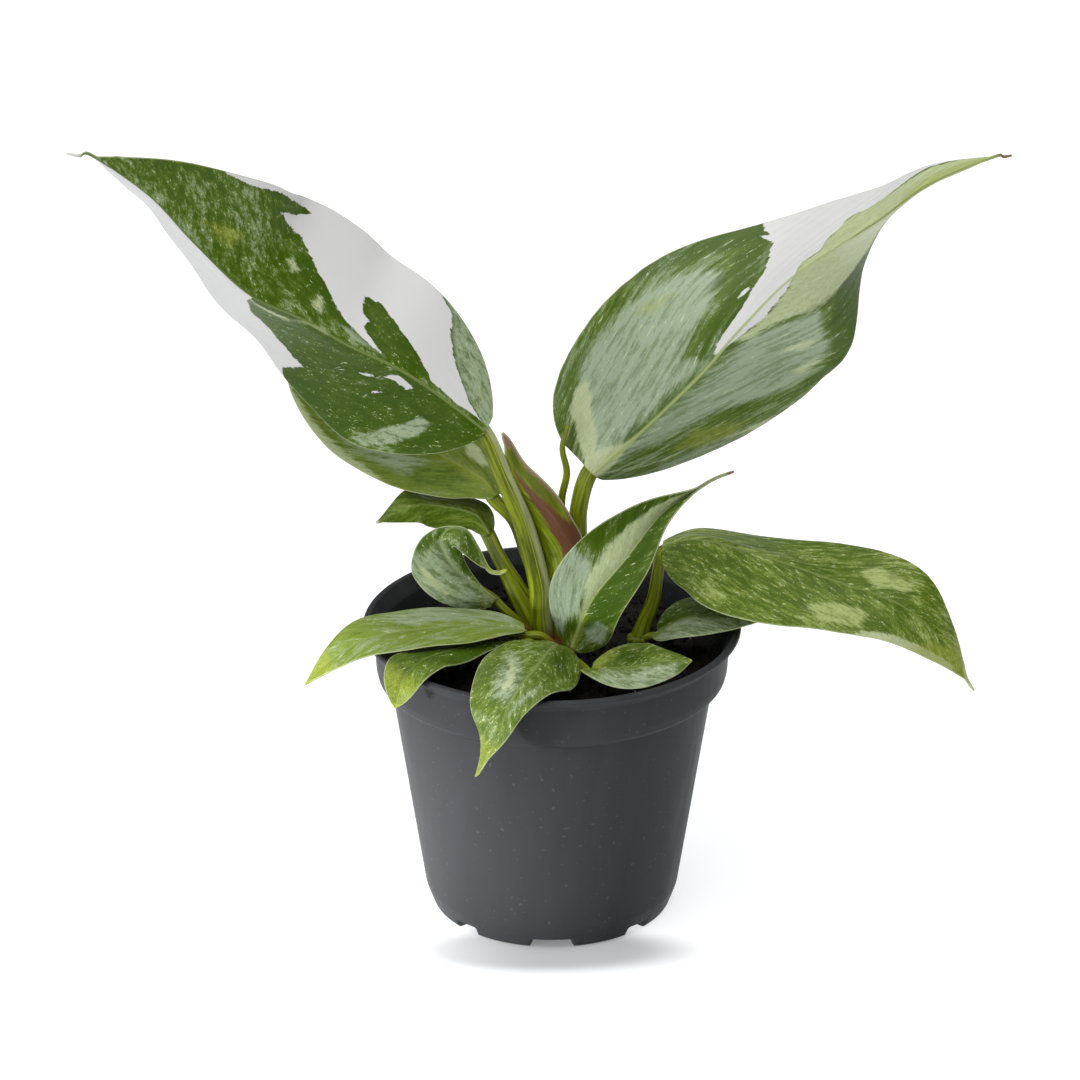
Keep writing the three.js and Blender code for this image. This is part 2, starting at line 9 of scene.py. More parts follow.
import bmesh
import bpy
import numpy as np
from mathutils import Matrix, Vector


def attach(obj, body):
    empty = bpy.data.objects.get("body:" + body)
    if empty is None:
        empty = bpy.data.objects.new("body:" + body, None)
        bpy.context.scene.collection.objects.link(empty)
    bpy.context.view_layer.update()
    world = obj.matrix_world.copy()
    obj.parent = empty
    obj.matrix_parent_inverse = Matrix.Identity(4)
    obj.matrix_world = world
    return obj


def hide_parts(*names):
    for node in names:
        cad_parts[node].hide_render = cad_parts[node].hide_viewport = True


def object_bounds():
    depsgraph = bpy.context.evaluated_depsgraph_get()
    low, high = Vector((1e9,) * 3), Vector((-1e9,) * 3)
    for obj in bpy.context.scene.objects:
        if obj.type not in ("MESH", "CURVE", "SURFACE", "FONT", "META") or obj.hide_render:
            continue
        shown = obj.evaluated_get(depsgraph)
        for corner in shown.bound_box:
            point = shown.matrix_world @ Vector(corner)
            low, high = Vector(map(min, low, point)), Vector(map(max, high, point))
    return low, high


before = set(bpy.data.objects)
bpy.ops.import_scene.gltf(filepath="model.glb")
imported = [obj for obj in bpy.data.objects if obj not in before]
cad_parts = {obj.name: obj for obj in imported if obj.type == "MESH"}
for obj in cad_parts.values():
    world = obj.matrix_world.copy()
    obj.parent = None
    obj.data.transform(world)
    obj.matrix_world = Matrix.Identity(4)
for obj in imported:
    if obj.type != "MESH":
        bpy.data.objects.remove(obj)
cad_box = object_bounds()

MM = 0.001

# Pot
POT_HEIGHT = 96
LIP_RADIUS = 59.6
LIP_WIDTH = 2
LIP_DEPTH = 1.8
LIP_ROUND = 0.5
COLLAR_RADIUS = 56
COLLAR_FOOT = 77
COLLAR_DRAFT = 0.6
COLLAR_BEND = 4.5
BODY_TOP_RADIUS = 51
BODY_FOOT_RADIUS = 40.2
WALL = 1.4
CORNER_ROUND = 0.5
FOOT_HEIGHT = 3.4
FOOT_OUTER_RADIUS = 37.8
FOOT_INNER_RADIUS = 32
FOOT_COUNT = 8
WIDE_NOTCH = 13
NARROW_NOTCH = 8
NOTCH_RAMP = 0.7
NOTCH_RISE = 0.985
PAD_RADIUS = 10
DRAIN_COUNT = 6
DRAIN_RADIUS = 3.5
DRAIN_CIRCLE = 21
DRAIN_SIDES = 32
POT_COLUMNS = 360
POT_ROW = 3
POT_IOR = 1.2

# Soil
SOIL_LEVEL = 85
SOIL_RELIEF = 1.2
SOIL_GAP = 0.35
SOIL_RINGS = 90
SOIL_COLUMNS = 240
CRUMBS = {"count": 900, "sizes": (0.5, 1.7), "inset": 2.5, "seed": 5}
PERLITE = {"count": 26, "sizes": (0.3, 0.8), "inset": 3, "seed": 6}

# Leaves: thicknesses, depths and spacings in mm, fades and reaches as shares of a blade's length or width
BLADE = 0.5
MARGIN_THICKNESS = 0.16
MARGIN_START = 0.94
TIP_HALF_WIDTH = 0.7
POINT_WIDTH = 0.35
POINT_REACH = 0.02
POINT_END = 1.002
BASE_START = 0.006
ROW_CROWDING = 1.3
COLUMN_CROWDING = 1.25
EDGE_WAVE = 0.012
EDGE_WAVE_LENGTH = 26
EDGE_RIPPLE = 0.002
EDGE_RIPPLE_LENGTH = 8
EDGE_LANE = 40
VEIN_BEND = 0.3
VEIN_SPACING = 4.3
VEIN_CLEARANCE = 3
VEIN_MARGIN_FADE = 0.12
VEIN_TIP_FADE = 0.1
CHANNEL_DEPTH = 0.32
CHANNEL_TIP_WIDTH = 0.5
CHANNEL_GROWTH = 0.9
CHANNEL_TIP_FADE = 0.2
SWELL_HEIGHT = 0.22
SWELL_PLACE = 3.2
SWELL_SPREAD = 2
BILLOW_LENGTH = 30
TIP_FADE = 0.3
BASE_FADE = 0.12
SIDE_SHIFT = 500
LEAF_SHIFT = 37
RIB_REACH = 0.45
RIB_THINNING = 0.6
RIB_SINK = 0.45
RIB_STATIONS = [0, 0.07, 0.14, 0.21, 0.28, 0.35, 0.42]
STALK_SIDES = 24
STALK_STEPS = 90
BLUSH_RUN = 12
BLUSH_LIMIT = 12
PALE_BAND = 0.15
SHEATH_SEED = 40
SPIKE_SIDES = 20
SPIKE_STEPS = 120
FOOT_DOME = 0.4
TOP_DOME = 0.5
LINE_STEPS = 801
LEAST_CURL = 1e-3
LEAST_SINE = 0.5
FAN_EASE = 0.06
FIELD_LIMIT = 12

# Camera: where the lens stands, from the middle of the rim, and what it shows
RIM_CENTRE = (0, 0, 96)
CAMERA_DISTANCE = 2200
CAMERA_HEIGHT_ANGLE = 24.7
CAMERA_PITCH = 24.0274
CAMERA_YAW = -0.10834
SENSOR_WIDTH = 36
LENS = 232.83

# Light: each soft box's place, aim, size in metres, power, colour and spread in degrees
LIGHTS = {
    "top_box": ((-0.1, 0.2, 2.1), (0, 0.1, 0), (4.0, 4.0), 80, (1, 1, 1), 180),
    "key_box": ((-0.8, -1.9, 1.85), (0, 0, 0.15), (2.4, 2.4), 35, (1, 1, 1), 180),
    "side_box": ((-0.62, -0.36, 0.04), (-0.03, 0, 0.03), (0.12, 0.12), 0.13, (0.95, 0.98, 1), 16),
}
WORLD_LIGHT = 0.06

# The floor glows though it is no lamp: evenly, to keep it white, with a painted pool of light beside
# the pot on the left that brightens the pot's left side, and with a painted shadow where the glow
# drops at the pot's foot
FLOOR_HALF = 9
FLOOR_TINT = (0.95, 0.97, 1, 1)
FLOOR_LIFT = 0.74
CONTACT_LIFT = 0.2
CONTACT_STRETCH = (1, 3, 1)
CONTACT_CENTRE = (-0.003, -0.117, 0)
CONTACT_REACH = (0.028, 0.056)
GLOW = 0.7
GLOW_CENTRE = (-0.095, -0.03, 0)
GLOW_REACH = (0.02, 0.095)

# Stems: where each stands, the heights of its foot and top, and the radius at each
STEMS = {
    "stem_main": {"at": [0, 8], "foot": 58, "top": 94, "radii": [7, 5]},
    "stem_front": {"at": [3, -7], "foot": 62, "top": 91, "radii": [5, 3.6]},
    "stem_right": {"at": [27, 6], "foot": 64, "top": 90, "radii": [4.5, 3.4]},
}
STEM_FIT = 0.97
STEM_SIDES = 36
STEM_STEPS = 60
STEM_BLUSH = 60
RING_SPACING = 9
RING_HEIGHT = 0.05
RING_WIDTH = 0.8


def flank(width, widest, fold, shoulder=0.5, taper=1, curl=(0, 0, 0)):
    """One side of a blade: its greatest half width and the share of the length where that lies, the fold
    at the midrib along the blade in degrees, how full the base is, how sharp the tip is, and the further
    bend out to the margin in degrees."""
    form = {"width": width, "widest": widest, "fold": fold}
    return {**form, "shoulder": shoulder, "taper": taper, "curl": curl}


# Each leaf, as in the model's own source: stalk and midrib as points, the stalk's radii, the way the
# upper face looks, and its two sides. A tail is the thin thread past the blade's tip.
LEAVES = {
    "leaf_upper_left": {
        "stalk": [(-3, 4.5, 87.4), (-3.5, 2, 96), (-4, 2, 108), (-8.5, 3, 127), (-14.8, 4, 143)],
        "stalk_radii": [3.8, 3.5, 2.9],
        "rib": [(-20, 4, 159), (-35, 3, 172), (-48, 1, 182), (-63, 0, 190), (-78, -1, 199.5),
            (-94, -3, 208.5), (-110, -5, 226), (-123, -7, 242), (-140, -9, 256)],
        "tail": [(-144, -9, 256), (-148, -9, 257)],
        "face": [0.2, -0.8, 0.5],
        "left": flank(33, 0.3, [-20, -52, -84, -94, -89], shoulder=0.75, curl=[20, 0, 0]),
        "right": flank(38, 0.46, [-22, -16, -16, -8, 2, 14, 25],
            shoulder=0.52, taper=1.15, curl=[0, 0, 20]),
    },
    "leaf_upper_right": {
        "stalk": [(4, 9.5, 87.6), (5.5, 10, 96), (6.5, 10, 106), (8, 9.5, 120), (8.5, 9, 132)],
        "stalk_radii": [3.6, 3.2, 2.8],
        "rib": [(12, 6.5, 143), (27, 5, 158), (46, 3, 179), (58, 1, 195), (73, -2, 213), (91, -6, 228),
            (100, -8, 235), (115, -11, 248), (134, -14, 258)],
        "tail": [(137, -14, 258), (139.5, -14, 258.5)],
        "face": [-0.2, -0.8, 0.5],
        "left": flank(37, 0.27, [12, 18, -2, -42, -52, -54, -54],
            shoulder=0.33, taper=0.95, curl=[20, 8, 0]),
        "right": flank(38, 0.34, [-62, -60, -57, -50, -45, -78, -94, -94, -60],
            shoulder=0.58, taper=1.6, curl=[-15, -10, -30]),
    },
    "leaf_behind": {
        "stalk": [(-2, 11.5, 88.2), (-3, 13, 98), (-8, 13.5, 114), (-12, 14, 125)],
        "stalk_radii": [2.8, 2.4, 2.2],
        "rib": [(-17, 14, 133), (-21.5, 17, 137.5), (-28.5, 20, 141), (-40, 24, 146), (-54.5, 27, 153.5),
            (-70, 28, 166), (-83, 28, 180.5)],
        "face": [0.1, -0.8, 0.6],
        "left": flank(17, 0.55, [-15, -12, -10, 0, 0], shoulder=0.62, taper=0.7),
        "right": flank(24, 0.32, [-50, -45, -40, -35, -30], shoulder=0.4),
    },
    "leaf_front_upright": {
        "stalk": [(3.5, -7, 86.8), (5, -8.5, 89)],
        "stalk_radii": [2.6, 2.2, 2],
        "rib": [(6, -10, 91), (8, -11, 98), (13, -14, 111), (23, -18, 126), (34, -22, 143),
            (46, -25, 153.5)],
        "tail": [(51, -26, 157), (56, -26, 159)],
        "face": [-0.3, -0.9, 0.2],
        "left": flank(15, 0.41, [-15, 10, 15, 38, 60]),
        "right": flank(15, 0.41, [0, 28, 45, 52, 70]),
    },
    "leaf_right": {
        "stalk": [(27.5, 6, 87.5), (29, 7, 92), (32, 8, 100), (33.5, 9.5, 110)],
        "stalk_radii": [2.9, 2.4, 1.9],
        "rib": [(34, 10, 118), (46, 8, 121), (64, 4, 118), (87, 0, 111), (109, -4, 104), (124, -6, 91),
            (131, -7, 79)],
        "tail": [(133, -8, 76)],
        "face": [0, -0.45, 0.9],
        "left": flank(27, 0.48, [-32, -38, -27, -14, -40], taper=1.05, curl=[-6, 0, -8]),
        "right": flank(27, 0.33, [-6, -2, 12, 13, 9], shoulder=0.41),
    },
    "leaf_low_right": {
        "stalk": [(28, 5, 88), (30.5, 4.5, 89)],
        "stalk_radii": [1.8, 1.5, 1.3],
        "rib": [(33, 4, 91), (42, 0, 97.5), (51, -4, 100.5), (59, -7, 101), (64.6, -9, 100.3)],
        "face": [0, -0.4, 0.9],
        "left": flank(14, 0.38, [0, -15, -20, -25, -25]),
        "right": flank(14, 0.38, [25, 20, 15, 8, 0]),
    },
    "leaf_small_front_right": {
        "stalk": [(4, -8.5, 88.5), (7, -13.1, 88.7), (9.5, -18, 89.2)],
        "stalk_radii": [1.8, 1.5, 1.3],
        "rib": [(12, -24, 90.8), (19, -30, 94), (26, -35, 97), (34, -36, 99), (43.5, -33, 98)],
        "face": [0, -0.4, 0.9],
        "left": flank(12, 0.38, [10, 0, -10, -13, -5]),
        "right": flank(12, 0.38, [40, 30, 10, 0, -5]),
    },
    "leaf_small_front": {
        "stalk": [(2.8, -8.5, 88.6), (2.5, -11, 91.5)],
        "stalk_radii": [1.8, 1.5, 1.3],
        "rib": [(2, -14, 95), (-1, -28, 99), (-5, -43, 100.5), (-10, -56, 99.5), (-14, -63, 95),
            (-17, -66, 86), (-23.5, -67, 74.5)],
        "face": [0, -0.6, 0.8],
        "left": flank(13.5, 0.3, [-10, -25, -18, 12, 5, -10], shoulder=0.45, taper=2.1),
        "right": flank(16, 0.44, [-7, -5, -9, -13, -50], taper=0.97),
    },
    "leaf_long_left": {
        "stalk": [(1.5, -7, 89), (-3, -7.5, 94.5)],
        "stalk_radii": [2, 1.7, 1.4],
        "rib": [(-8, -8, 97), (-23, -11, 100), (-41, -15, 100.5), (-57, -20, 99.5), (-68, -23, 94),
            (-77, -25, 86)],
        "face": [0, -0.5, 0.85],
        "left": flank(13, 0.38, [45, 30, 27, 23, 28]),
        "right": flank(13, 0.38, [-24, -28, -24, -13, -18]),
    },
    "leaf_low_left": {
        "stalk": [(1.5, -8.5, 87.8), (-2.5, -11, 91), (-7, -13, 95)],
        "stalk_radii": [1.6, 1.4, 1.2],
        "rib": [(-11, -14, 96.2), (-25, -20, 97.5), (-37, -30, 98.3), (-43, -38, 98), (-46.5, -44, 95.5),
            (-48.5, -47, 88.2)],
        "face": [0, -0.5, 0.85],
        "left": flank(9, 0.66, [0, 5, 10, 20, 20, 10], shoulder=1.1, taper=0.8),
        "right": flank(9, 0.6, [-45, -45, -35, -5, 10], shoulder=0.9, taper=0.8),
    },
    "leaf_top_left_small": {
        "stalk": [(-3.5, 9, 88.4), (-7.5, 9, 96), (-12, 10.5, 104), (-16.5, 13, 112)],
        "stalk_radii": [4.2, 3.5, 2.4],
        "rib": [(-19.5, 15, 119.5), (-23.5, 16, 125.5), (-29.5, 17, 127.5), (-38, 17, 129), (-43, 16, 129),
            (-55.5, 14, 124)],
        "face": [0, -0.7, 0.7],
        "left": flank(8.5, 0.4, [-50, -48, -48, -48, -45], taper=1.2),
        "right": flank(11, 0.36, [-40, -45, -49, -49, -49, -22, -30, -45]),
    },
    "leaf_curled_left": {
        "stalk": [(-4.5, 6.5, 89), (-9, 6, 92), (-14, 5.5, 97)],
        "stalk_radii": [1.7, 1.5, 1.3],
        "rib": [(-17.5, 5, 101), (-22.5, 4, 105.5), (-27.5, 2, 110.5), (-31, 0, 115), (-34, -2, 121),
            (-35, -4, 126), (-33, -5.5, 130), (-30, -7, 131.5), (-26.5, -8, 130.5), (-23.5, -8.5, 125.5),
            (-20, -9, 118.5)],
        "tail": [(-17, -9, 117), (-14, -9, 118)],
        "face": [0, -0.9, 0.4],
        "left": flank(12, 0.4, [-10, -10, -10, 0, 0], taper=12),
        "right": flank(6.5, 0.66, [0, 0, 10, 10, 10], shoulder=1.6, taper=0.8),
    },
}

# The papery sheath round the newest shoot, folded along a keel
SHEATH = {
    "rib": [(3, 2.5, 88.5), (6, 0, 97), (8, -1.5, 108), (7, -1.5, 121), (3, -1, 129), (-2, 0.5, 136),
        (-9, 3, 143), (-12.5, 5, 148), (-15.5, 8, 157.5)],
    "face": [0.3, -0.95, 0],
    "left": flank(15, 0.35, [-40, -40, -40, -40, -40], shoulder=0.3, taper=1.7, curl=[-20, -20, -10]),
    "right": flank(5.5, 0.68, [-40, -35, -25, -20, -20], shoulder=0.6, taper=0.6, curl=[-20, -20, -10]),
}

# The thin rolled tip of the next leaf
SPIKE_POINTS = [[2, 9.5, 91], [2.8, 9.5, 108], [3.4, 9.6, 122], [3.0, 9.2, 134], [4.6, 7.5, 144],
    [3.2, 6, 153], [4.8, 5.2, 161]]
SPIKE_RADII = [1.6, 1.3, 1.1, 0.7]

# Rows and half columns of each fine blade
FINENESS = {
    "leaf_upper_left": (236, 58), "leaf_upper_right": (236, 58), "leaf_behind": (110, 34),
    "leaf_front_upright": (160, 42), "leaf_right": (170, 50), "leaf_low_right": (84, 28),
    "leaf_small_front_right": (90, 30), "leaf_small_front": (140, 36), "leaf_long_left": (140, 32),
    "leaf_low_left": (110, 28), "leaf_top_left_small": (110, 28), "leaf_curled_left": (160, 32),
    "sheath": (130, 26),
}

# Markings of each leaf, as outlines in the blade's own coordinates: percent of its length, then
# percent of its half width, negative on the left side. Past 100 they run off the margin.
# Most mark the leaf's own colour; some mint outlines also hold painted sheen, and the deep outlines of the
# two low leaves are painted shade, as noted at each
MARKINGS = {
    "leaf_upper_left": {
        "white": [
            [(80, 120), (74, 97), (69, 91), (62, 95), (54, 93), (48, 89), (52, 83), (59, 79), (53, 72),
                (48, 66), (44, 49), (39, 31), (35, 19), (26, 6), (31, 23), (30, 31), (32, 36), (33, 50),
                (29, 51), (25, 41), (18, 21), (15, 9), (8, 6), (2, 15), (6, 23), (12, 50), (15, 73),
                (16, 91), (19, 99), (19, 120)],
            [(53, 0), (53, -15), (50, -45), (43, -64), (36, -66), (38, -91), (34, -120), (102, -120),
                (102, -2)],
            [(24, -16), (21, -13), (18, -16), (17, -10), (21, -6)],
            [(32, -38), (31, -32), (30, -31), (31, -36)],
            [(28, -26), (26, -21), (24, -20), (26, -25)],
            [(24, -45), (23, -36), (21, -32), (23, -40)],
        ],
        # Grey-green variegation with painted sheen: the silvery reflection on these parts of the face
        "mint": [
            [(19, 120), (19, 99), (16, 91), (15, 73), (12, 50), (6, 23), (2, 15), (0, 30), (0, 120)],
            [(21, -95), (17, -74), (14, -58), (12, -37), (10, -42), (10, -62), (12, -80), (14, -90),
                (17, -97)],
            [(36, 12), (33, 16), (29, 10), (25, 5), (30, 6)],
        ],
        "cream": [
            [(55, -6), (52, -11), (49, -16), (45, -19), (44, -6), (38, 3), (37, 0), (42, -1), (45, -10),
                (49, -12), (53, -5)],
            [(49, 46), (46, 40), (48, 34), (49, 41)],
            [(41, 25), (39, 16), (40, 11), (42, 18)],
        ],
        "deep": [
            [(2, 0), (55, 0), (52, -30), (42, -64), (37, -70), (38, -120), (20, -120), (22, -90), (17, -72),
                (12, -50), (9, -62), (12, -85), (10, -120), (0, -120)],
            [(35, 20), (45, 50), (50, 72), (47, 40), (40, 20)],
            [(33, 50), (29, 53), (25, 43), (18, 23), (15, 8), (26, 5), (31, 23)],
        ],
        "warm": [[(70, 28), (66, 23), (63, 23), (63, 41), (67, 35)]],
    },
    "leaf_upper_right": {
        "white": [
            [(50, -120), (50, -89), (51, -78), (49, -85), (51, -68), (50, -57), (49, -42), (48, -36),
                (45, -24), (42, -16), (38, -10), (34, -6), (32, -3), (37, 3), (42, 7), (45, 9), (51, 6),
                (54, 0), (56, -11), (60, -11), (61, -25), (66, -51), (71, -52), (77, -66), (83, -86),
                (89, -96), (89, -120)],
            [(42, -27), (44, -31), (45, -27), (42, -25)],
        ],
        "cream": [
            [(0, -30), (4, -20), (9, -4), (13, 0), (8, 5), (4, 15), (0, 25)],
            [(37, 3), (42, 7), (45, 9), (51, 6), (54, 0), (56, -11), (60, -11), (61, -25), (66, -50),
                (77, -63), (89, -90), (97, -120), (100, 50), (90, 50), (78, 60), (66, 90), (63, 86),
                (59, 76), (54, 56), (52, 49), (48, 30), (44, 20), (39, 13)],
            [(10, -78), (13, -70), (9, -51), (5, -24), (2, -15), (1, -27), (3, -51), (6, -71)],
            [(3, 27), (6, 56), (10, 64), (14, 68), (10, 69), (5, 55)],
            [(19, 86), (25, 95), (28, 102), (24, 100)],
            [(40, 45), (43, 52), (45, 62), (42, 60)],
            [(36, 66), (41, 76), (42, 83), (37, 78)],
        ],
        # Grey-green variegation with painted sheen: the silvery reflection on these parts of the face
        "mint": [
            [(2, -8), (30, -6), (28, -22), (37, -35), (42, -55), (40, -74), (30, -84), (15, -86), (10, -75),
                (5, -40)],
            [(2, 3), (17, 4), (30, 6), (40, 12), (51, 48), (45, 80), (34, 85), (24, 45), (15, 30), (5, 15)],
        ],
        "deep": [
            [(49, -55), (45, -23), (40, -10), (33, -4), (28, -6), (29, -18), (38, -28), (43, -47),
                (45, -70), (48, -82), (50, -120), (52, -120)],
            [(30, -120), (33, -90), (40, -84), (46, -77), (49, -80), (50, -120)],
            [(36, 92), (45, 86), (49, 70), (56, 60), (61, 50), (62, 90), (62, 120), (36, 120)],
        ],
        "warm": [
            [(28, -76), (32, -72), (34, -66), (30, -66)],
            [(12, 55), (18, 47), (21, 65), (24, 80), (20, 86), (15, 76)],
            [(80, -20), (72, 50), (75, 120), (110, 120), (110, -60), (92, -60)],
        ],
    },
    "leaf_front_upright": {
        "cream": [[(8, -3), (18, -12), (33, -40), (47, -50), (62, -50), (75, -55), (90, -80), (98, -60),
            (98, 0), (62, 0), (36, 0)]],
        # Grey-green variegation with painted sheen: the silvery reflection on these parts of the face
        "mint": [
            [(6, -120), (5, -60), (16, -14), (30, -30), (35, -50), (36, -80), (36, -120)],
            [(8, 50), (11, 20), (18, 40), (21, 80), (10, 90)],
        ],
        "deep": [
            [(16, 0), (36, 0), (80, 0), (75, 35), (55, 60), (40, 80), (26, 80), (22, 40)],
            [(39, -62), (43, -80), (40, -120), (75, -120), (70, -65), (47, -58)],
        ],
        "warm": [[(0, -25), (10, -3), (17, 0), (15, 12), (8, 20), (0, 30)]],
    },
    "leaf_right": {
        "mint": [
            [(55, -42), (59, -60), (69, -55), (68, -28), (59, -13)],
            [(44, 63), (51, 42), (60, 45), (60, 83), (49, 82)],
        ],
        "cream": [
            [(60, 90), (70, 80), (80, 72), (90, 60), (94, 120), (58, 120)],
            [(90, -120), (93, -30), (95, 40), (110, 40), (110, -120)],
        ],
        "warm": [[(84, -120), (88, -50), (84, 20), (78, 70), (74, 120), (110, 120), (110, -120)]],
    },
    "leaf_curled_left": {
        "mint": [[(8, -120), (10, 0), (20, 20), (40, 30), (50, 10), (44, -50), (42, -120)]],
        "cream": [[(22, -75), (38, -80), (36, -55), (20, -60)]],
        "deep": [
            [(46, -120), (43, -85), (47, -37), (56, 18), (67, 25), (74, 77), (80, 120), (92, 120), (84, 50),
                (73, 0), (70, -120)],
            [(21, -50), (15, -65), (10, -60), (12, -30), (18, -30)],
        ],
        "warm": [[(86, 120), (88, -120), (110, -120), (110, 120)]],
    },
    "leaf_small_front": {
        "mint": [
            [(66, 45), (47, 55), (30, 68), (32, 45), (56, 5), (66, 5)],
            [(72, -15), (64, -32), (55, -45), (60, -60), (70, -40)],
        ],
        "cream": [[(62, 30), (50, 40), (40, 50), (46, 30), (60, 12)]],
        "deep": [[(5, -10), (30, -10), (30, -50), (10, -60)]],
        "warm": [[(84, -120), (86, 120), (110, 120), (110, -120)]],
    },
    "leaf_small_front_right": {
        "mint": [[(30, 30), (60, 20), (85, 20), (80, 120), (30, 120)]],
        "deep": [[(20, -70), (35, -75), (60, -30), (62, -5), (40, -10), (25, -30)]],
        "warm": [[(0, -120), (12, -120), (14, 0), (10, 120), (0, 120)]],
    },
    "leaf_long_left": {
        # Grey-green variegation with painted sheen: the silvery reflection on this part of the face
        "mint": [[(5, 30), (50, 20), (60, 80), (30, 120), (5, 120)]],
        "warm": [[(86, -120), (84, 120), (110, 120), (110, -120)]],
    },
    "leaf_behind": {
        "cream": [
            [(13, 30), (20, 35), (24, 60), (18, 70), (12, 50)],
            [(98, -120), (90, -90), (62, -84), (45, -92), (35, -120)],
        ],
        "mint": [[(50, -20), (70, -30), (80, -60), (60, -70), (35, -65), (30, -30)]],
        "warm": [[(2, -30), (20, -12), (34, -4), (20, 8), (5, 10)]],
    },
    "sheath": {
        "warm": [[(36, 120), (36, -30), (45, -32), (60, -36), (70, -34), (80, -28), (87, -10), (80, 6),
            (70, 10), (60, 38), (52, 85), (46, 120)]],
        "deep": [[(58, 35), (70, 12), (80, 10), (93, 0), (92, 60), (75, 70), (60, 60)]],
        "mint": [[(50, 130), (55, 70), (75, 75), (93, 50), (95, -120), (110, -120), (110, 130)]],
    },
    "leaf_low_right": {
        "mint": [[(12, 50), (22, 20), (36, 12), (68, 20), (80, 0), (97, 10), (97, 120), (10, 120)]],
        # Painted shade: the deep outline darkens the upper part of this leaf, which lies in shade
        "deep": [[(0, -120), (0, 30), (15, 10), (36, 3), (68, 3), (76, -30), (58, -60), (50, -120)]],
    },
    "leaf_low_left": {
        # Painted shade: the deep outline darkens the base and right part of this leaf, which lie in shade
        "deep": [[(0, -120), (0, 120), (55, 120), (68, 30), (66, -40), (50, -120)]],
        "warm": [[(76, 120), (80, 0), (86, -120), (110, -120), (110, 120)]],
    },
}
MARKS = ["white", "cream", "mint", "deep", "warm"]

# Colours as red, green and blue from 0 to 255, as they look in even light
PALETTE = {
    "dark": (58, 82, 8),
    "green": (92, 114, 30),
    "deep": (52, 78, 4),
    # The two grey-greens for pale patches below carry painted sheen; the bluer one is a painted reflection of
    # the floor
    "mint": (152, 166, 136),
    "silver_sheen": (154, 169, 144),
    "fresh_dark": (72, 95, 18),
    "fresh_light": (112, 131, 46),
    "cream": (182, 192, 148),
    "fleck": (198, 206, 162),
    "white": (206, 206, 204),
    "warm": (148, 156, 60),
    "under": (104, 120, 50),
    "rib": (164, 178, 110),
    "margin": (176, 184, 142),
    "brown": (120, 92, 70),
    "stalk": (130, 140, 14),
    "stalk_dark": (78, 90, 6),
    "stalk_pale": (176, 180, 140),
    "blush": (130, 62, 44),
    "keel": (92, 44, 36),
    "keel_pale": (132, 98, 94),
    "sheath": (122, 138, 12),
    "pot": (53, 54, 56),
    "soil": (15, 13, 11),
    "soil_light": (50, 43, 35),
    "perlite": (214, 210, 204),
    "floor": (180, 180, 180),
}

# Per leaf: the angle of its streaks to the midrib on the left and right side in degrees, how long they
# are drawn out (the smaller, the longer), the levels of noise past which green, haze and flecks show,
# the strength of the pale midrib and margin, how far the margin waves in mm, the veins' relief, the
# thread's colour, the gloss, how soft and how clear its pale patches are, and its greens and patches.
# The haze and the pale patches are grey-green with painted sheen in them.
# A leaf that doesn't name a value has the usual one.
USUAL_LOOK = {"slant": (24, 24), "stretch": 0.3, "green": 0.5, "mint": 0.56, "fleck": 0.6, "rib": 0.3,
    "margin": 0.6, "wave": 0.4, "veins": 0.05, "tip": "warm", "gloss": 0.15, "soft": 1, "clear": 0.35,
    "dark": "fresh_dark", "light": "fresh_light", "patch": "mint"}
LOOKS = {
    "leaf_upper_left": {"slant": (34, 28), "stretch": 0.42, "mint": 0.54, "fleck": 0.605, "margin": 0.5,
        "wave": 0.3, "veins": 0.03, "tip": "perlite", "gloss": 0.13, "soft": 0.35, "clear": 0.4,
        "dark": "dark", "light": "green"},
    "leaf_upper_right": {"slant": (15, 26), "stretch": 0.12, "green": 0.45, "mint": 0.51, "rib": 0.9,
        "margin": 0.7, "wave": 0.45, "veins": 0.045, "tip": "brown", "gloss": 0.3, "clear": 0.55,
        "dark": "dark", "light": "green", "patch": "silver_sheen"},
    "leaf_behind": {"slant": (30, 30), "stretch": 0.16, "green": 0.44, "fleck": 0.63, "margin": 0.8,
        "wave": 0.25, "veins": 0.03, "gloss": 0.13},
    "leaf_front_upright": {"slant": (24, 30), "stretch": 0.14, "green": 0.52, "rib": 0.5, "margin": 0.5,
        "veins": 0.06, "tip": "brown", "gloss": 0.2, "soft": 0.7, "clear": 0.55, "dark": "dark",
        "light": "green", "patch": "silver_sheen"},
    "leaf_right": {"slant": (26, 26), "stretch": 0.28, "mint": 0.55, "fleck": 0.59, "rib": 0.25,
        "wave": 0.5, "tip": "cream", "soft": 0.6, "clear": 0.5, "patch": "rib"},
    "leaf_low_right": {"mint": 0.57, "fleck": 0.575, "soft": 0.7},
    "leaf_small_front_right": {"stretch": 0.4, "green": 0.49, "fleck": 0.575, "rib": 0.2, "gloss": 0.2},
    "leaf_small_front": {"stretch": 0.34, "fleck": 0.575, "wave": 0.5, "veins": 0.06, "gloss": 0.2},
    "leaf_long_left": {"slant": (16, 16), "stretch": 0.2, "green": 0.38, "mint": 0.52, "rib": 0.25,
        "margin": 0.55},
    "leaf_low_left": {"slant": (18, 18), "stretch": 0.34, "green": 0.46, "mint": 0.58, "rib": 0.25,
        "dark": "dark", "light": "green"},
    "leaf_top_left_small": {"slant": (20, 20), "stretch": 0.2, "mint": 0.58, "fleck": 0.64, "tip": "cream"},
    "leaf_curled_left": {"slant": (20, 20), "green": 0.54, "mint": 0.53, "fleck": 0.585, "veins": 0.06,
        "gloss": 0.2},
}


def linear(name):
    """A palette colour as the shader takes it."""
    channels = [channel / 255 for channel in PALETTE[name]]
    return tuple(((c + 0.055) / 1.055) ** 2.4 if c > 0.04 else c / 12.92 for c in channels) + (1,)


def unit(vectors):
    return vectors / np.maximum(np.linalg.norm(vectors, axis=-1, keepdims=True), 1e-12)


def smooth(values):
    """From 0 to 1 with level ends."""
    clipped = np.clip(values, 0, 1)
    return clipped * clipped * (3 - 2 * clipped)


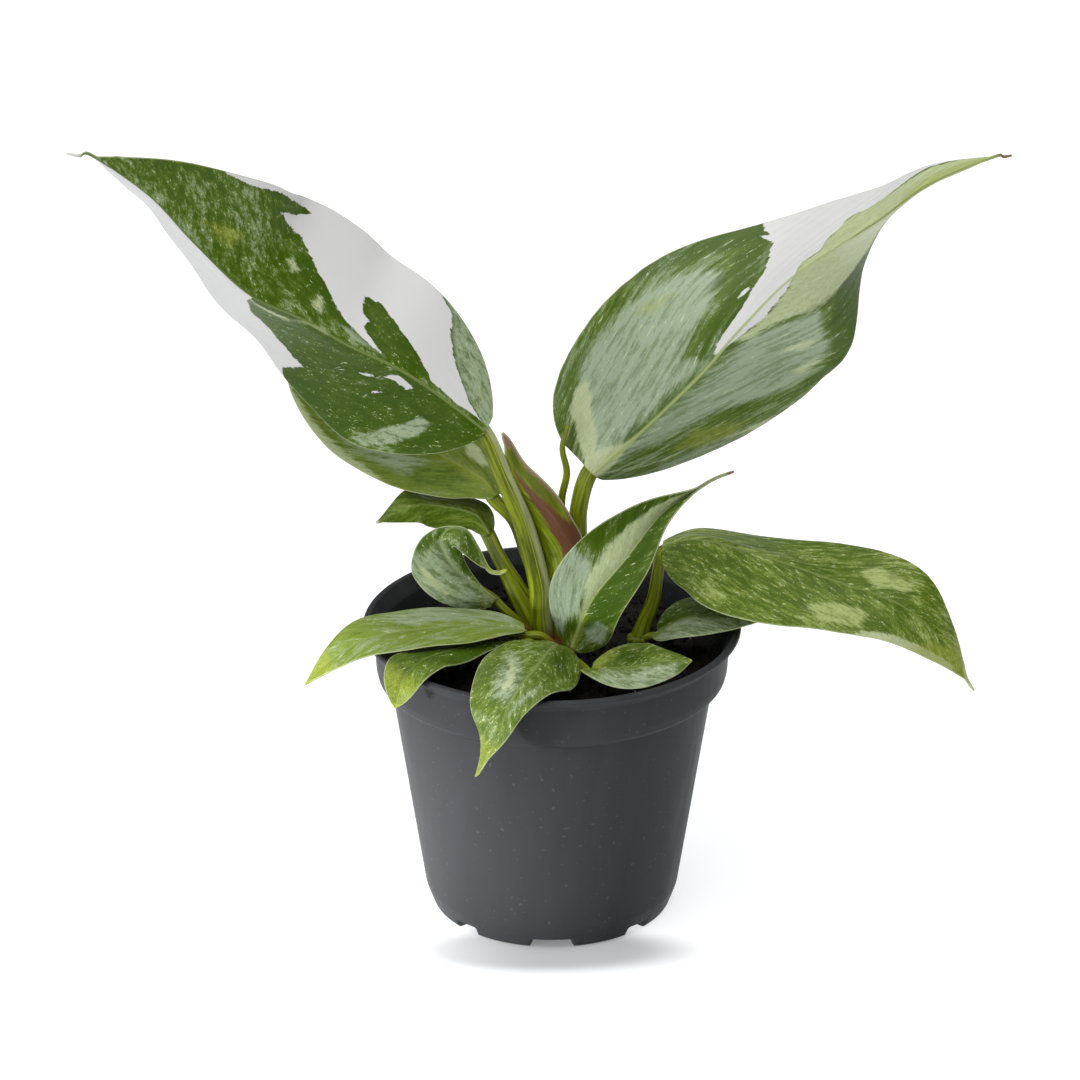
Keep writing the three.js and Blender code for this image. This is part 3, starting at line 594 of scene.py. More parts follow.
def spline(points, share):
    """A Catmull-Rom line through evenly counted points."""
    points = np.asarray(points, float)
    last = len(points) - 1
    place = np.clip(share, 0, 1) * last
    first = np.minimum(place.astype(int), last - 1)
    w = (place - first)[:, None]
    ends = np.vstack([2 * points[0] - points[1], points, 2 * points[-1] - points[-2]])
    a, b, c, d = ends[first], ends[first + 1], ends[first + 2], ends[first + 3]
    leave = (c - a) / 2
    arrive = (d - b) / 2
    third = 2 * b - 2 * c + leave + arrive
    second = 3 * c - 3 * b - 2 * leave - arrive
    return third * w**3 + second * w**2 + leave * w + b


def blend_list(values, share):
    """Values read by share along a smooth line through them."""
    return spline([[value] for value in values], np.asarray(share, float))[:, 0]


class Line:
    """A smooth line through points, read by the share of its length."""

    def __init__(self, points):
        self.points = points
        self.steps = np.linspace(0, 1, LINE_STEPS)
        places = spline(points, self.steps)
        runs = np.linalg.norm(np.diff(places, axis=0), axis=1)
        reach = np.concatenate([[0], np.cumsum(runs)])
        self.length = reach[-1]
        self.shares = reach / reach[-1]

    def at(self, share):
        """Points and directions."""
        steps = np.interp(share, self.shares, self.steps)
        before = spline(self.points, np.clip(steps - 1e-3, 0, 1))
        after = spline(self.points, np.clip(steps + 1e-3, 0, 1))
        return spline(self.points, steps), unit(after - before)


def ripple(x, y, wavelength, seed):
    """Soft random waves over a plane, about -1 to 1."""
    rng = np.random.default_rng(seed)
    total = 0
    for _ in range(5):
        angle = rng.uniform(0, 2 * math.pi)
        number = 2 * math.pi / (wavelength * rng.uniform(0.7, 1.5))
        total = total + np.sin(number * (x * math.cos(angle) + y * math.sin(angle)) + rng.uniform(0, 7))
    return total / 3


def placed(name, data):
    """A new object in the scene."""
    thing = bpy.data.objects.new(name, data)
    bpy.context.scene.collection.objects.link(thing)
    return thing


def part_of(points, faces, material, values=None):
    """One part of a piece: its mesh, its material and the values at its points."""
    return {"points": points, "faces": faces, "material": material, "values": values or {}}


def turned(profile, angle):
    """The rows of points that a profile of radii and heights makes round the axis."""
    r, z = profile[:, :1], profile[:, 1:]
    return np.stack([r * np.cos(angle), r * np.sin(angle), z + 0 * angle], -1)


def turned_corners(rows, columns):
    """The four corners of each face on a grid that closes on itself sideways."""
    index = np.arange(rows * columns).reshape(rows, columns)
    beside = np.roll(index, -1, 1)
    return index[:-1], index[1:], beside[1:], beside[:-1]


def outline_share(t, side):
    """Share of the greatest half width at t: a round shoulder, then a taper to the tip."""
    before = np.clip(1 - t / side["widest"], 0, 1)
    past = np.clip((t - side["widest"]) / (1 - side["widest"]), 0, 1)
    return np.where(t < side["widest"], (1 - before**2) ** side["shoulder"], (1 - past**2) ** side["taper"])


def rib_frame(line, t, face):
    """Midrib points, upper normals and rightward vectors. Directions are eased so that rows don't cross."""
    points = line.at(t)[0]
    shifts = np.linspace(-FAN_EASE, FAN_EASE, 7)
    along = unit(sum(line.at(np.clip(t + shift, 0, 1))[1] for shift in shifts))
    face = np.asarray(face, float)
    up = unit(face - (along @ face)[:, None] * along)
    return points, up, np.cross(along, up)


def side_shape(side, t):
    """Half width, fold and curl of one side of a blade along its length."""
    width = np.maximum(TIP_HALF_WIDTH, side["width"] * outline_share(t, side))
    fold = np.radians(blend_list(side["fold"], t))
    curl = np.radians(blend_list(side["curl"], t)) + LEAST_CURL
    return width[:, None], fold[:, None], curl[:, None]


def grid_normals(grid):
    lengthwise = np.gradient(grid, axis=0)
    sideways = np.gradient(grid, axis=1)
    return unit(np.cross(sideways, lengthwise))


def signed_distance(x, y, outline):
    """Distance in mm from an outline, positive inside it."""
    distance = np.full(x.shape, 1e9)
    inside = np.zeros(x.shape, bool)
    for (x0, y0), (x1, y1) in zip(outline, outline[1:] + outline[:1]):
        dx, dy = x1 - x0, y1 - y0
        run = max(dx * dx + dy * dy, 1e-9)
        share = np.clip(((x - x0) * dx + (y - y0) * dy) / run, 0, 1)
        distance = np.minimum(distance, np.hypot(x - x0 - share * dx, y - y0 - share * dy))
        crosses = (y0 > y) != (y1 > y)
        inside ^= crosses & (x < x0 + (y - y0) * dx / (dy if dy else 1e-9))
    return np.where(inside, distance, -distance)


def marking_fields(leaf, name, t, s, length):
    """For each kind of marking, how deep inside it each point of the blade lies, in mm."""
    left, right = leaf["left"]["width"], leaf["right"]["width"]
    x = t * length
    y = s * np.where(s < 0, left, right)
    fields = {}
    for mark in MARKS:
        field = np.full(x.shape, -float(FIELD_LIMIT))
        for outline in MARKINGS.get(name, {}).get(mark, []):
            scaled = [
                (share / 100 * length, across / 100 * (left if across < 0 else right))
                for share, across in outline
            ]
            field = np.maximum(field, signed_distance(x, y, scaled))
        fields[mark] = np.clip(field, -FIELD_LIMIT, FIELD_LIMIT)
    return fields


def blade_grid(name):
    """Rows as shares of the length, closest at the base, and columns as shares of the half width, closest
    at the margins."""
    rows, columns = FINENESS[name]
    t = BASE_START + (1 - BASE_START) * np.linspace(0, 1, rows + 1) ** ROW_CROWDING
    even = np.linspace(-1, 1, 2 * columns + 1)
    return t, np.sign(even) * (1 - (1 - abs(even)) ** COLUMN_CROWDING)


def uneven_width(width, x, t, s, seed):
    """Half widths drawn in to a point at the tip, with a gently wandering margin."""
    width = width * (POINT_WIDTH + (1 - POINT_WIDTH) * smooth((POINT_END - t) / POINT_REACH))
    lane = EDGE_LANE * np.sign(s)
    wave = EDGE_WAVE * ripple(x, lane, EDGE_WAVE_LENGTH, seed)
    wave = wave + EDGE_RIPPLE * ripple(x, lane, EDGE_RIPPLE_LENGTH, seed + 1)
    return width * (1 + wave * s**2)


def vein_paths(x, d, s, slants):
    """Places across and along the side veins, which leave the midrib at a slant and fan out at the base."""
    slant = np.radians(np.where(s < 0, *slants))
    lag = VEIN_BEND * d * abs(s)
    parallel = (x - lag) * np.sin(slant) - d * np.cos(slant)
    fan = -(np.arctan2(d, np.maximum(x - lag, 1e-3)) - slant) * np.hypot(d, x - lag)
    return np.where(parallel > 0, parallel, fan), x * np.cos(slant) + d * np.sin(slant)


def blade_relief(x, d, t, s, vein, look, seed):
    """Height of the surface in mm: side veins, the midrib's channel, the swell beside it and billows."""
    reach = abs(s)
    body = smooth(d / VEIN_CLEARANCE) * smooth((1 - reach) / VEIN_MARGIN_FADE)
    body = body * smooth((1 - t) / VEIN_TIP_FADE)
    veins = np.sin(2 * math.pi * vein / VEIN_SPACING + 1.5 * np.sin(vein * 0.37))
    veins = veins + 0.5 * np.sin(vein * 3.1 + 2 * np.sin(vein))
    channel_width = CHANNEL_TIP_WIDTH + CHANNEL_GROWTH * (1 - t)
    channel = CHANNEL_DEPTH * np.exp(-((d / channel_width) ** 2)) * smooth((1 - t) / CHANNEL_TIP_FADE)
    fade = smooth((1 - t) / TIP_FADE)
    swell = SWELL_HEIGHT * np.exp(-(((d - SWELL_PLACE) / SWELL_SPREAD) ** 2)) * fade
    billow = reach**1.6 * ripple(x, s * 6, BILLOW_LENGTH, seed + 2) * fade * smooth(t / BASE_FADE)
    return look["veins"] * veins * body - channel + swell + look["wave"] * billow


def blade_part(leaf, name, material, look, seed):
    """The blade as a thin closed sheet with its midrib channel, side veins and wavy margin."""
    line = Line(leaf["rib"] + leaf.get("tail", []))
    shape_share = Line(leaf["rib"]).length / line.length
    rows, columns = blade_grid(name)
    shape_rows = np.minimum(1, rows / shape_share)
    t, s = np.meshgrid(rows, columns, indexing="ij")
    reach = abs(s)
    x = t * line.length
    shapes = zip(side_shape(leaf["left"], shape_rows), side_shape(leaf["right"], shape_rows))
    width, fold, curl = (np.where(s < 0, left, right) for left, right in shapes)
    width = uneven_width(width, x, t, s, seed)
    d = reach * width
    across = np.sign(s) * width * (np.sin(fold + curl * reach) - np.sin(fold)) / curl
    lift = width * (np.cos(fold) - np.cos(fold + curl * reach)) / curl
    points, up, right = rib_frame(line, rows, leaf["face"])
    middle = points[:, None] + right[:, None] * across[..., None] + up[:, None] * lift[..., None]
    vein, run = vein_paths(x, d, s, look["slant"])
    relief = blade_relief(x, d, t, s, vein, look, seed)
    middle = middle + grid_normals(middle) * relief[..., None]

    rounding = np.sqrt(1 - ((reach - MARGIN_START) / (1 - MARGIN_START)).clip(0, 1) ** 2)
    thickness = MARGIN_THICKNESS + (BLADE - MARGIN_THICKNESS) * rounding
    half = grid_normals(middle) * (thickness / 2)[..., None]
    shift = np.sign(s) * SIDE_SHIFT + seed * LEAF_SHIFT
    values = {
        "vein": np.stack([vein + shift, run, shift * 0.01], -1),
        "rib": d,
        "margin": np.minimum(width * (1 - reach), (1 - t) * line.length),
        "along": t,
        **marking_fields(leaf, name, t, s, line.length),
    }
    return sheet_part(middle + half, middle - half, material, values)


def flat(value):
    return value.reshape(-1, 3) if value.ndim == 3 else value.reshape(-1)


def sheet_part(upper, lower, material, values):
    """A closed sheet from an upper and a lower grid, with like values on both faces and under 1 below."""
    rows, columns = upper.shape[:2]
    count = rows * columns
    index = np.arange(count).reshape(rows, columns)
    a, b, c, d = index[:-1, :-1], index[:-1, 1:], index[1:, 1:], index[1:, :-1]
    top = np.stack([a, b, c, d], -1).reshape(-1, 4)
    bottom = np.stack([a, d, c, b], -1).reshape(-1, 4) + count
    edge = np.concatenate([index[:, 0], index[-1, 1:], index[::-1, -1][1:], index[0, ::-1][1:]])
    start, end = edge[:-1], edge[1:]
    rim = np.stack([start, end, end + count, start + count], -1)
    both = {key: np.concatenate([flat(value), flat(value)]) for key, value in values.items()}
    both["under"] = np.repeat([0.0, 1.0], count)
    points = np.concatenate([flat(upper), flat(lower)])
    return part_of(points, np.concatenate([top, bottom, rim]), material, both)


def rod_part(points, radii, sides, steps, material, section=None, facing=(0, -1, 0.2)):
    """A rod of changing radius along a smooth line, closed by domed ends. section shapes its outline."""
    line = Line(points)
    share = np.linspace(0, 1, steps + 1)
    centres, along = line.at(share)
    side = unit(np.cross(along, np.asarray(facing, float)))
    front = np.cross(side, along)
    angle = np.linspace(0, 2 * math.pi, sides, endpoint=False)
    radius = blend_list(radii, np.interp(share, line.shares, line.steps))[:, None]
    if section is not None:
        radius = radius * section(angle[None, :], share[:, None], line.length)
    ring = side[:, None] * np.sin(angle)[None, :, None] + front[:, None] * np.cos(angle)[None, :, None]
    grid = centres[:, None] + ring * radius[..., None]
    a, b, c, d = turned_corners(steps + 1, sides)
    faces = np.stack([b, c, d, a], -1).reshape(-1, 4).tolist()
    foot = (steps + 1) * sides
    last = steps * sides
    faces += [[foot, k, (k + 1) % sides] for k in range(sides)]
    faces += [[foot + 1, last + (k + 1) % sides, last + k] for k in range(sides)]
    low_end = centres[0] - along[0] * radius[0, 0] * FOOT_DOME
    high_end = centres[-1] + along[-1] * radius[-1, 0] * TOP_DOME
    values = {
        "turn": np.append(np.tile(angle / (2 * math.pi), steps + 1), [0, 0]),
        "run": np.append(np.repeat(share * line.length, sides), [0, line.length]),
    }
    return part_of(np.concatenate([flat(grid), [low_end, high_end]]), faces, material, values)


def joined(parts):
    """One mesh from several parts: points, faces, each face's material, values and materials."""
    points, faces, owners, values, materials = [], [], [], {}, []
    total = sum(len(part["points"]) for part in parts)
    start = 0
    for part in parts:
        end = start + len(part["points"])
        if part["material"] not in materials:
            materials.append(part["material"])
        points.append(part["points"])
        faces += [[corner + start for corner in face] for face in np.asarray(part["faces"], object).tolist()]
        owners += [materials.index(part["material"])] * len(part["faces"])
        for key, value in part["values"].items():
            whole = values.setdefault(key, np.zeros((total,) + value.shape[1:]))
            whole[start:end] = value
        start = end
    return np.concatenate(points), faces, owners, values, materials


def make_piece(name, parts, nodes):
    """One smooth-shaded object in metres from several parts, riding on the pot's body."""
    points, faces, owners, values, materials = joined(parts)
    mesh = bpy.data.meshes.new(name)
    places = np.clip(points * MM, *np.array(cad_box, float))
    mesh.from_pydata(places.tolist(), [], faces)
    for key, value in values.items():
        kind, field = ("FLOAT_VECTOR", "vector") if value.ndim == 2 else ("FLOAT", "value")
        attribute = mesh.attributes.new(key, kind, "POINT")
        attribute.data.foreach_set(field, value.astype(np.float32).reshape(-1))
    for material in materials:
        mesh.materials.append(material)
    mesh.polygons.foreach_set("material_index", np.array(owners, np.int32))
    mesh.polygons.foreach_set("use_smooth", np.ones(len(owners), bool))
    mesh.update()
    piece = placed(name, mesh)
    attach(piece, "root")
    if nodes:
        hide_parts(*nodes)
    return piece


class Graph:
    """A material's nodes, joined by short calls."""

    def __init__(self, name, roughness, specular):
        self.material = bpy.data.materials.new(name)
        self.material.use_nodes = True
        self.tree = self.material.node_tree
        self.shader = self.tree.nodes["Principled BSDF"]
        self.shader.inputs["Roughness"].default_value = roughness
        self.shader.inputs["Specular IOR Level"].default_value = specular

    def feed(self, socket, value):
        if isinstance(value, bpy.types.NodeSocket):
            self.tree.links.new(value, socket)
        else:
            socket.default_value = value

    def finish(self, socket, value):
        self.feed(self.shader.inputs[socket], value)

    def attribute(self, name, output="Fac"):
        node = self.tree.nodes.new("ShaderNodeAttribute")
        node.attribute_name = name
        return node.outputs[output]

    def place(self):
        """The place on the object, in metres."""
        return self.tree.nodes.new("ShaderNodeTexCoord").outputs["Object"]

    def place_in_mm(self):
        return self.scaled(self.place(), (1 / MM, 1 / MM, 1 / MM))

    def operate(self, kind, operation, *values):
        node = self.tree.nodes.new(kind)
        node.operation = operation
        for socket, value in zip(node.inputs, values):
            self.feed(socket, value)
        return node.outputs

    def math(self, operation, *values):
        return self.operate("ShaderNodeMath", operation, *values)[0]

    def add(self, *terms):
        total = terms[0]
        for term in terms[1:]:
            total = self.math("ADD", total, term)
        return total

    def times(self, a, b):
        return self.math("MULTIPLY", a, b)

    def centred(self, noise, factor):
        """Noise about 0, times a factor."""
        return self.times(self.math("SUBTRACT", noise, 0.5), factor)

    def weigh(self, *pairs):
        """The sum of values, each times its weight."""
        return self.add(*(self.times(value, weight) for value, weight in pairs))

    def scaled(self, vector, factors):
        return self.operate("ShaderNodeVectorMath", "MULTIPLY", vector, factors)["Vector"]

    def distance(self, vector, centre):
        return self.operate("ShaderNodeVectorMath", "DISTANCE", vector, centre)["Value"]

    def noise(self, vector, factors, detail=2.0, roughness=0.5):
        """Noise over a vector that is scaled first. The larger its factors, the finer the noise."""
        node = self.tree.nodes.new("ShaderNodeTexNoise")
        node.inputs["Scale"].default_value = 1
        node.inputs["Detail"].default_value = detail
        node.inputs["Roughness"].default_value = roughness
        self.feed(node.inputs["Vector"], self.scaled(vector, factors))
        return node.outputs["Fac"]

    def step(self, value, low, high, bottom=0.0, top=1.0):
        """bottom below low, top above high, and smooth between them."""
        node = self.tree.nodes.new("ShaderNodeMapRange")
        node.interpolation_type = "SMOOTHSTEP"
        self.feed(node.inputs["Value"], value)
        node.inputs["From Min"].default_value = low
        node.inputs["From Max"].default_value = high
        node.inputs["To Min"].default_value = bottom
        node.inputs["To Max"].default_value = top
        return node.outputs["Result"]

    def marked(self, mark, jag, low, high, top=1.0):
        """top inside a marking's outline and 0 outside, with its edge moved by jag."""
        return self.step(self.add(self.attribute(mark), jag), low, high, 0.0, top)

    def mix(self, share, a, b):
        node = self.tree.nodes.new("ShaderNodeMix")
        node.data_type = "RGBA"
        self.feed(node.inputs[0], share)
        self.feed(node.inputs[6], a)
        self.feed(node.inputs[7], b)
        return node.outputs[2]

    def tint(self, share, colour, name):
        """A colour with a share of a palette colour over it."""
        return self.mix(share, colour, linear(name))

    def bump(self, height, distance, strength):
        node = self.tree.nodes.new("ShaderNodeBump")
        node.inputs["Distance"].default_value = distance
        node.inputs["Strength"].default_value = strength
        self.feed(node.inputs["Height"], height)
        self.feed(self.shader.inputs["Normal"], node.outputs["Normal"])


def leaf_ground(g, look, broad, streak, fine, jag):
    """A blade's two greens in streaks, its deep areas (painted shade on the two low leaves) and its pale haze
    and patches, grey-green with painted sheen in them.
    """
    tone = g.weigh((streak, 0.5), (broad, 0.25), (fine, 0.25))
    green = look["green"]
    colour = g.tint(g.step(tone, green - 0.08, green + 0.09), linear(look["dark"]), look["light"])
    # The deep marks: deep green, and on the two low leaves painted shade
    deep = g.marked("deep", jag, -1.6, 1.6)
    colour = g.tint(g.times(deep, 0.65), colour, "deep")
    # Haze and patches: a grey-green tone with painted sheen in it
    cloud = g.weigh((streak, 0.4), (broad, 0.3), (fine, 0.3), (deep, -0.06))
    sheen_haze = g.step(cloud, look["mint"] - 0.04, look["mint"] + 0.06, 0.0, 0.58)
    blur = 2.4 * look["soft"]
    patch = g.marked("mint", g.times(jag, 1.5 * look["soft"]), -blur, blur, 0.9)
    speckled = g.step(g.weigh((streak, 0.7), (fine, 0.3)), 0.42, 0.52, look["clear"], 1.0)
    return g.tint(g.times(g.math("MAXIMUM", sheen_haze, patch), speckled), colour, look["patch"])


def leaf_marks(g, look, colour, fine, flecks, jag):
    """The marks over a blade's ground: cream, flecks, yellow-green, and white with a dark fringe."""
    cream = g.marked("cream", jag, -1.1, 1.1, 0.85)
    colour = g.tint(g.times(cream, g.step(fine, 0.36, 0.52, 0.75, 1.0)), colour, "cream")
    colour = g.tint(g.step(flecks, look["fleck"] - 0.01, look["fleck"] + 0.04, 0.0, 0.8), colour, "fleck")
    warm = g.marked("warm", jag, -2.5, 2.5, 0.65)
    colour = g.tint(g.times(warm, g.step(fine, 0.38, 0.56, 0.4, 1.0)), colour, "warm")
    bound = g.add(g.attribute("white"), g.times(jag, 0.55))
    fringe = g.times(g.step(bound, -2.2, -0.3, 0.0, 0.45), g.step(cream, 0, 0.5, 1.0, 0.0))
    colour = g.tint(fringe, colour, "deep")
    return g.tint(g.step(bound, -0.16, 0.16), colour, "white")


def leaf_edges(g, look, colour):
    """The pale midrib and margin, the duller lower face and the thread at the tip."""
    along = g.attribute("along")
    fade = g.step(along, 0.3, 0.95, look["rib"], 0.3 * look["rib"])
    colour = g.tint(g.times(g.step(g.attribute("rib"), 0.25, 0.75, 1.0, 0.0), fade), colour, "rib")
    colour = g.tint(g.step(g.attribute("margin"), 0.1, 0.4, look["margin"], 0.0), colour, "margin")
    colour = g.tint(g.times(g.attribute("under"), 0.55), colour, "under")
    return g.tint(g.step(along, 0.965, 0.985), colour, look["tip"])


def leaf_material(name, look):
    """A satin blade: greens streaked and flecked along its veins, under the markings given for each leaf."""
    g = Graph(name, 0.36, look["gloss"])
    vein = g.attribute("vein", "Vector")
    long = look["stretch"]
    broad = g.noise(vein, (0.11, 0.11 * long + 0.02, 1), 2)
    streak = g.noise(vein, (0.62, 0.62 * long, 1), 5, 0.66)
    fine = g.noise(vein, (2.2, 2.2 * long + 0.25, 1), 4, 0.68)
    dash = g.noise(vein, (2.3, 1.7 * long + 0.1, 2), 1)
    grain = g.noise(vein, (3.6, 2.6, 3), 1)
    flecks = g.weigh((dash, 0.42), (grain, 0.22), (streak, 0.36))
    uneven = g.add(g.centred(streak, 5.0), g.centred(fine, 2.4))
    jag = g.times(uneven, g.step(g.attribute("rib"), 0.4, 3.0))
    colour = leaf_ground(g, look, broad, streak, fine, jag)
    colour = leaf_marks(g, look, colour, fine, flecks, jag)
    g.finish("Base Color", leaf_edges(g, look, colour))
    g.finish("Roughness", g.step(streak, 0.35, 0.65, 0.32, 0.46))
    g.bump(g.weigh((fine, 0.5), (streak, 0.5)), 0.00025, 0.6)
    return g.material


def stalk_material(name, pale_turn=None, blush_run=0):
    """A leaf stalk: yellow-green with fine lengthwise streaks, reddish at its foot if asked, and a pale band
    if asked.
    """
    g = Graph(name, 0.4, 0.3)
    turn = g.attribute("turn")
    run = g.attribute("run")
    place = g.tree.nodes.new("ShaderNodeCombineXYZ")
    g.feed(place.inputs[0], g.times(turn, 14))
    g.feed(place.inputs[1], g.times(run, 0.05))
    streak = g.noise(place.outputs[0], (1, 1, 1), 3, 0.6)
    colour = g.tint(g.step(streak, 0.4, 0.62), linear("stalk"), "stalk_dark")
    if pale_turn is not None:
        away = g.math("ABSOLUTE", g.math("SUBTRACT", turn, pale_turn))
        band = g.step(g.add(away, g.centred(streak, 0.16)), 0.03, 0.15, 0.85, 0.0)
        colour = g.tint(band, colour, "stalk_pale")
    if blush_run:
        foot = g.step(g.add(run, g.times(streak, 8)), blush_run * 0.5, blush_run, 0.75, 0.0)
        colour = g.tint(foot, colour, "blush")
    g.finish("Base Color", colour)
    g.bump(streak, 0.0002, 0.5)
    return g.material


def sheath_material():
    """Papery sheath: green, with a maroon keel, a rosy far edge, an olive hollow and a whitish near edge."""
    g = Graph("sheath_skin", 0.44, 0.3)
    streak = g.noise(g.attribute("vein", "Vector"), (0.9, 0.08, 1), 3, 0.6)
    jag = g.centred(streak, 3)
    colour = g.tint(g.step(streak, 0.35, 0.7), linear("sheath"), "stalk_dark")
    colour = g.tint(g.marked("deep", jag, -0.8, 0.8, 0.8), colour, "stalk_dark")
    colour = g.tint(g.marked("warm", jag, -0.9, 1.2, 0.9), colour, "keel")
    colour = g.tint(g.marked("mint", jag, -0.6, 0.6, 0.85), colour, "keel_pale")
    colour = g.tint(g.step(g.attribute("margin"), 0.3, 1.1, 0.7, 0.0), colour, "stalk_pale")
    g.finish("Base Color", colour)
    g.bump(streak, 0.0002, 0.5)
    return g.material


def pot_material():
    """Satin dark grey plastic with faint flow lines, specks of dust and small scuffs."""
    g = Graph("pot_plastic", 0.48, 0.3)
    g.shader.inputs["IOR"].default_value = POT_IOR
    place = g.place_in_mm()
    flow = g.noise(place, (0.16, 0.16, 0.02), 3)
    grain = g.noise(place, (1.8, 1.8, 1.8), 2)
    speck = g.noise(place, (0.75, 0.75, 0.75), 0)
    scuff = g.noise(place, (0.12, 0.12, 0.5), 4, 0.7)
    base = linear("pot")
    light = tuple(1.35 * channel for channel in base[:3]) + (1,)
    colour = g.mix(g.step(flow, 0.3, 0.7, 0.0, 0.3), base, light)
    g.finish("Base Color", g.tint(g.step(speck, 0.76, 0.80, 0.0, 0.03), colour, "perlite"))
    g.finish("Roughness", g.add(g.step(flow, 0.3, 0.7, 0.40, 0.50), g.step(scuff, 0.55, 0.75, 0.0, 0.08)))
    g.bump(g.add(g.times(grain, 0.5), flow), 0.00012, 0.35)
    return g.material


def soil_material():
    """Near-black moist peat with paler fibres."""
    g = Graph("peat", 0.9, 0.2)
    place = g.place_in_mm()
    crumb = g.noise(place, (0.9, 0.9, 0.9), 4, 0.7)
    fibre = g.noise(place, (3.2, 0.6, 1.5), 2)
    colour = g.tint(g.step(crumb, 0.45, 0.75, 0.0, 0.5), linear("soil"), "soil_light")
    g.finish("Base Color", g.tint(g.step(fibre, 0.70, 0.74, 0.0, 0.6), colour, "soil_light"))
    g.bump(crumb, 0.0006, 0.8)
    return g.material


def perlite_material():
    """Chalky perlite and bark specks."""
    g = Graph("perlite", 0.85, 0.3)
    grain = g.noise(g.place_in_mm(), (1.4, 1.4, 1.4), 3)
    g.finish("Base Color", g.tint(g.step(grain, 0.4, 0.65), linear("perlite"), "soil_light"))
    g.bump(grain, 0.0004, 0.8)
    return g.material


def stalk_section(angle, share, _length):
    """A stalk's outline: round, with a shallow channel along its front."""
    away = np.minimum(angle, 2 * math.pi - angle)
    return 1 - 0.20 * np.exp(-((away / 0.55) ** 2)) * smooth(share / 0.15)


def stem_section(angle, share, length):
    """A stem's outline: a little knobbly, with a ring at each old joint."""
    from_ring = (share * length) % RING_SPACING - RING_SPACING / 2
    rings = RING_HEIGHT * np.exp(-((from_ring / RING_WIDTH) ** 2))
    return 1 + rings + 0.03 * np.sin(5 * angle + 6 * share)


def stalk_part(leaf, material):
    """The stalk, which runs on as the midrib's swelling on the blade's underside."""
    stations = np.array(RIB_STATIONS, float)
    points, up, right = rib_frame(Line(leaf["rib"]), stations, leaf["face"])
    near = np.radians(blend_list(leaf["left"]["fold"], stations))
    far = np.radians(blend_list(leaf["right"]["fold"], stations))
    half = (math.pi + near + far) / 2
    lean = ((far - near) / 2)[:, None]
    thin = leaf["stalk_radii"][-1] * (1 - RIB_THINNING * stations / RIB_REACH)
    depth = (thin / np.maximum(LEAST_SINE, np.sin(half)) + RIB_SINK)[:, None]
    under = points - up * depth * np.cos(lean) + right * depth * np.sin(lean)
    radii = [*blend_list(leaf["stalk_radii"], np.linspace(0, 1, len(leaf["stalk"]))), *thin]
    route = leaf["stalk"] + under.tolist()
    return rod_part(route, radii, STALK_SIDES, STALK_STEPS, material, stalk_section, leaf["face"])


def make_leaves():
    for seed, (name, leaf) in enumerate(LEAVES.items(), 1):
        look = {**USUAL_LOOK, **LOOKS[name]}
        skin = leaf_material(name + "_skin", look)
        band = PALE_BAND if name == "leaf_upper_left" else None
        blush = BLUSH_RUN if leaf["stalk"][0][0] < BLUSH_LIMIT else 0
        stalk = stalk_material(name + "_stalk_skin", band, blush)
        parts = [blade_part(leaf, name, skin, look, seed), stalk_part(leaf, stalk)]
        make_piece(name + "_fine", parts, [name])


def make_shoot():
    """The sheath and the rolled tip of the next leaf."""
    look = {"slant": (8, 8), "wave": 0.2, "veins": 0.05}
    sheath = blade_part(SHEATH, "sheath", sheath_material(), look, SHEATH_SEED)
    make_piece("sheath_fine", [sheath], ["sheath"])
    skin = stalk_material("spike_skin")
    rod = rod_part(SPIKE_POINTS, SPIKE_RADII, SPIKE_SIDES, SPIKE_STEPS, skin, stalk_section)
    make_piece("leaf_spike_fine", [rod], ["leaf_spike"])


def make_stems():
    plain = stalk_material("stem_skin")
    reddish = stalk_material("main_stem_skin", None, STEM_BLUSH)
    for name, stem in STEMS.items():
        x, y = stem["at"]
        middle = (stem["foot"] + stem["top"]) / 2
        points = [[x, y, stem["foot"] + 1], [x + 0.4, y, middle], [x, y, stem["top"] - 1.6]]
        wide, narrow = (STEM_FIT * radius for radius in stem["radii"])
        skin = reddish if name == "stem_main" else plain
        rod = rod_part(points, [wide, wide, narrow], STEM_SIDES, STEM_STEPS, skin, stem_section)
        make_piece(name + "_fine", [rod], [name])


def rounded(profile, reach, steps=5):
    """A profile with each inner corner turned into a short arc."""
    points = [profile[0]]
    for before, corner, after in zip(profile, profile[1:], profile[2:]):
        before, corner, after = (np.array(p, float) for p in (before, corner, after))
        into = before - corner
        out = after - corner
        cut = min(reach, 0.45 * np.linalg.norm(into), 0.45 * np.linalg.norm(out))
        start = corner + unit(into) * cut
        end = corner + unit(out) * cut
        for share in np.linspace(0, 1, steps):
            points.append(tuple((1 - share) ** 2 * start + 2 * share * (1 - share) * corner + share**2 * end))
    return points + [profile[-1]]


def pot_foot():
    return [
        (0, 0),
        (PAD_RADIUS, 0),
        (PAD_RADIUS + 1, FOOT_HEIGHT),
        (FOOT_INNER_RADIUS, FOOT_HEIGHT),
        (FOOT_INNER_RADIUS + 0.5, 0),
        (FOOT_OUTER_RADIUS - 1, 0),
        (FOOT_OUTER_RADIUS, 0.8),
    ]


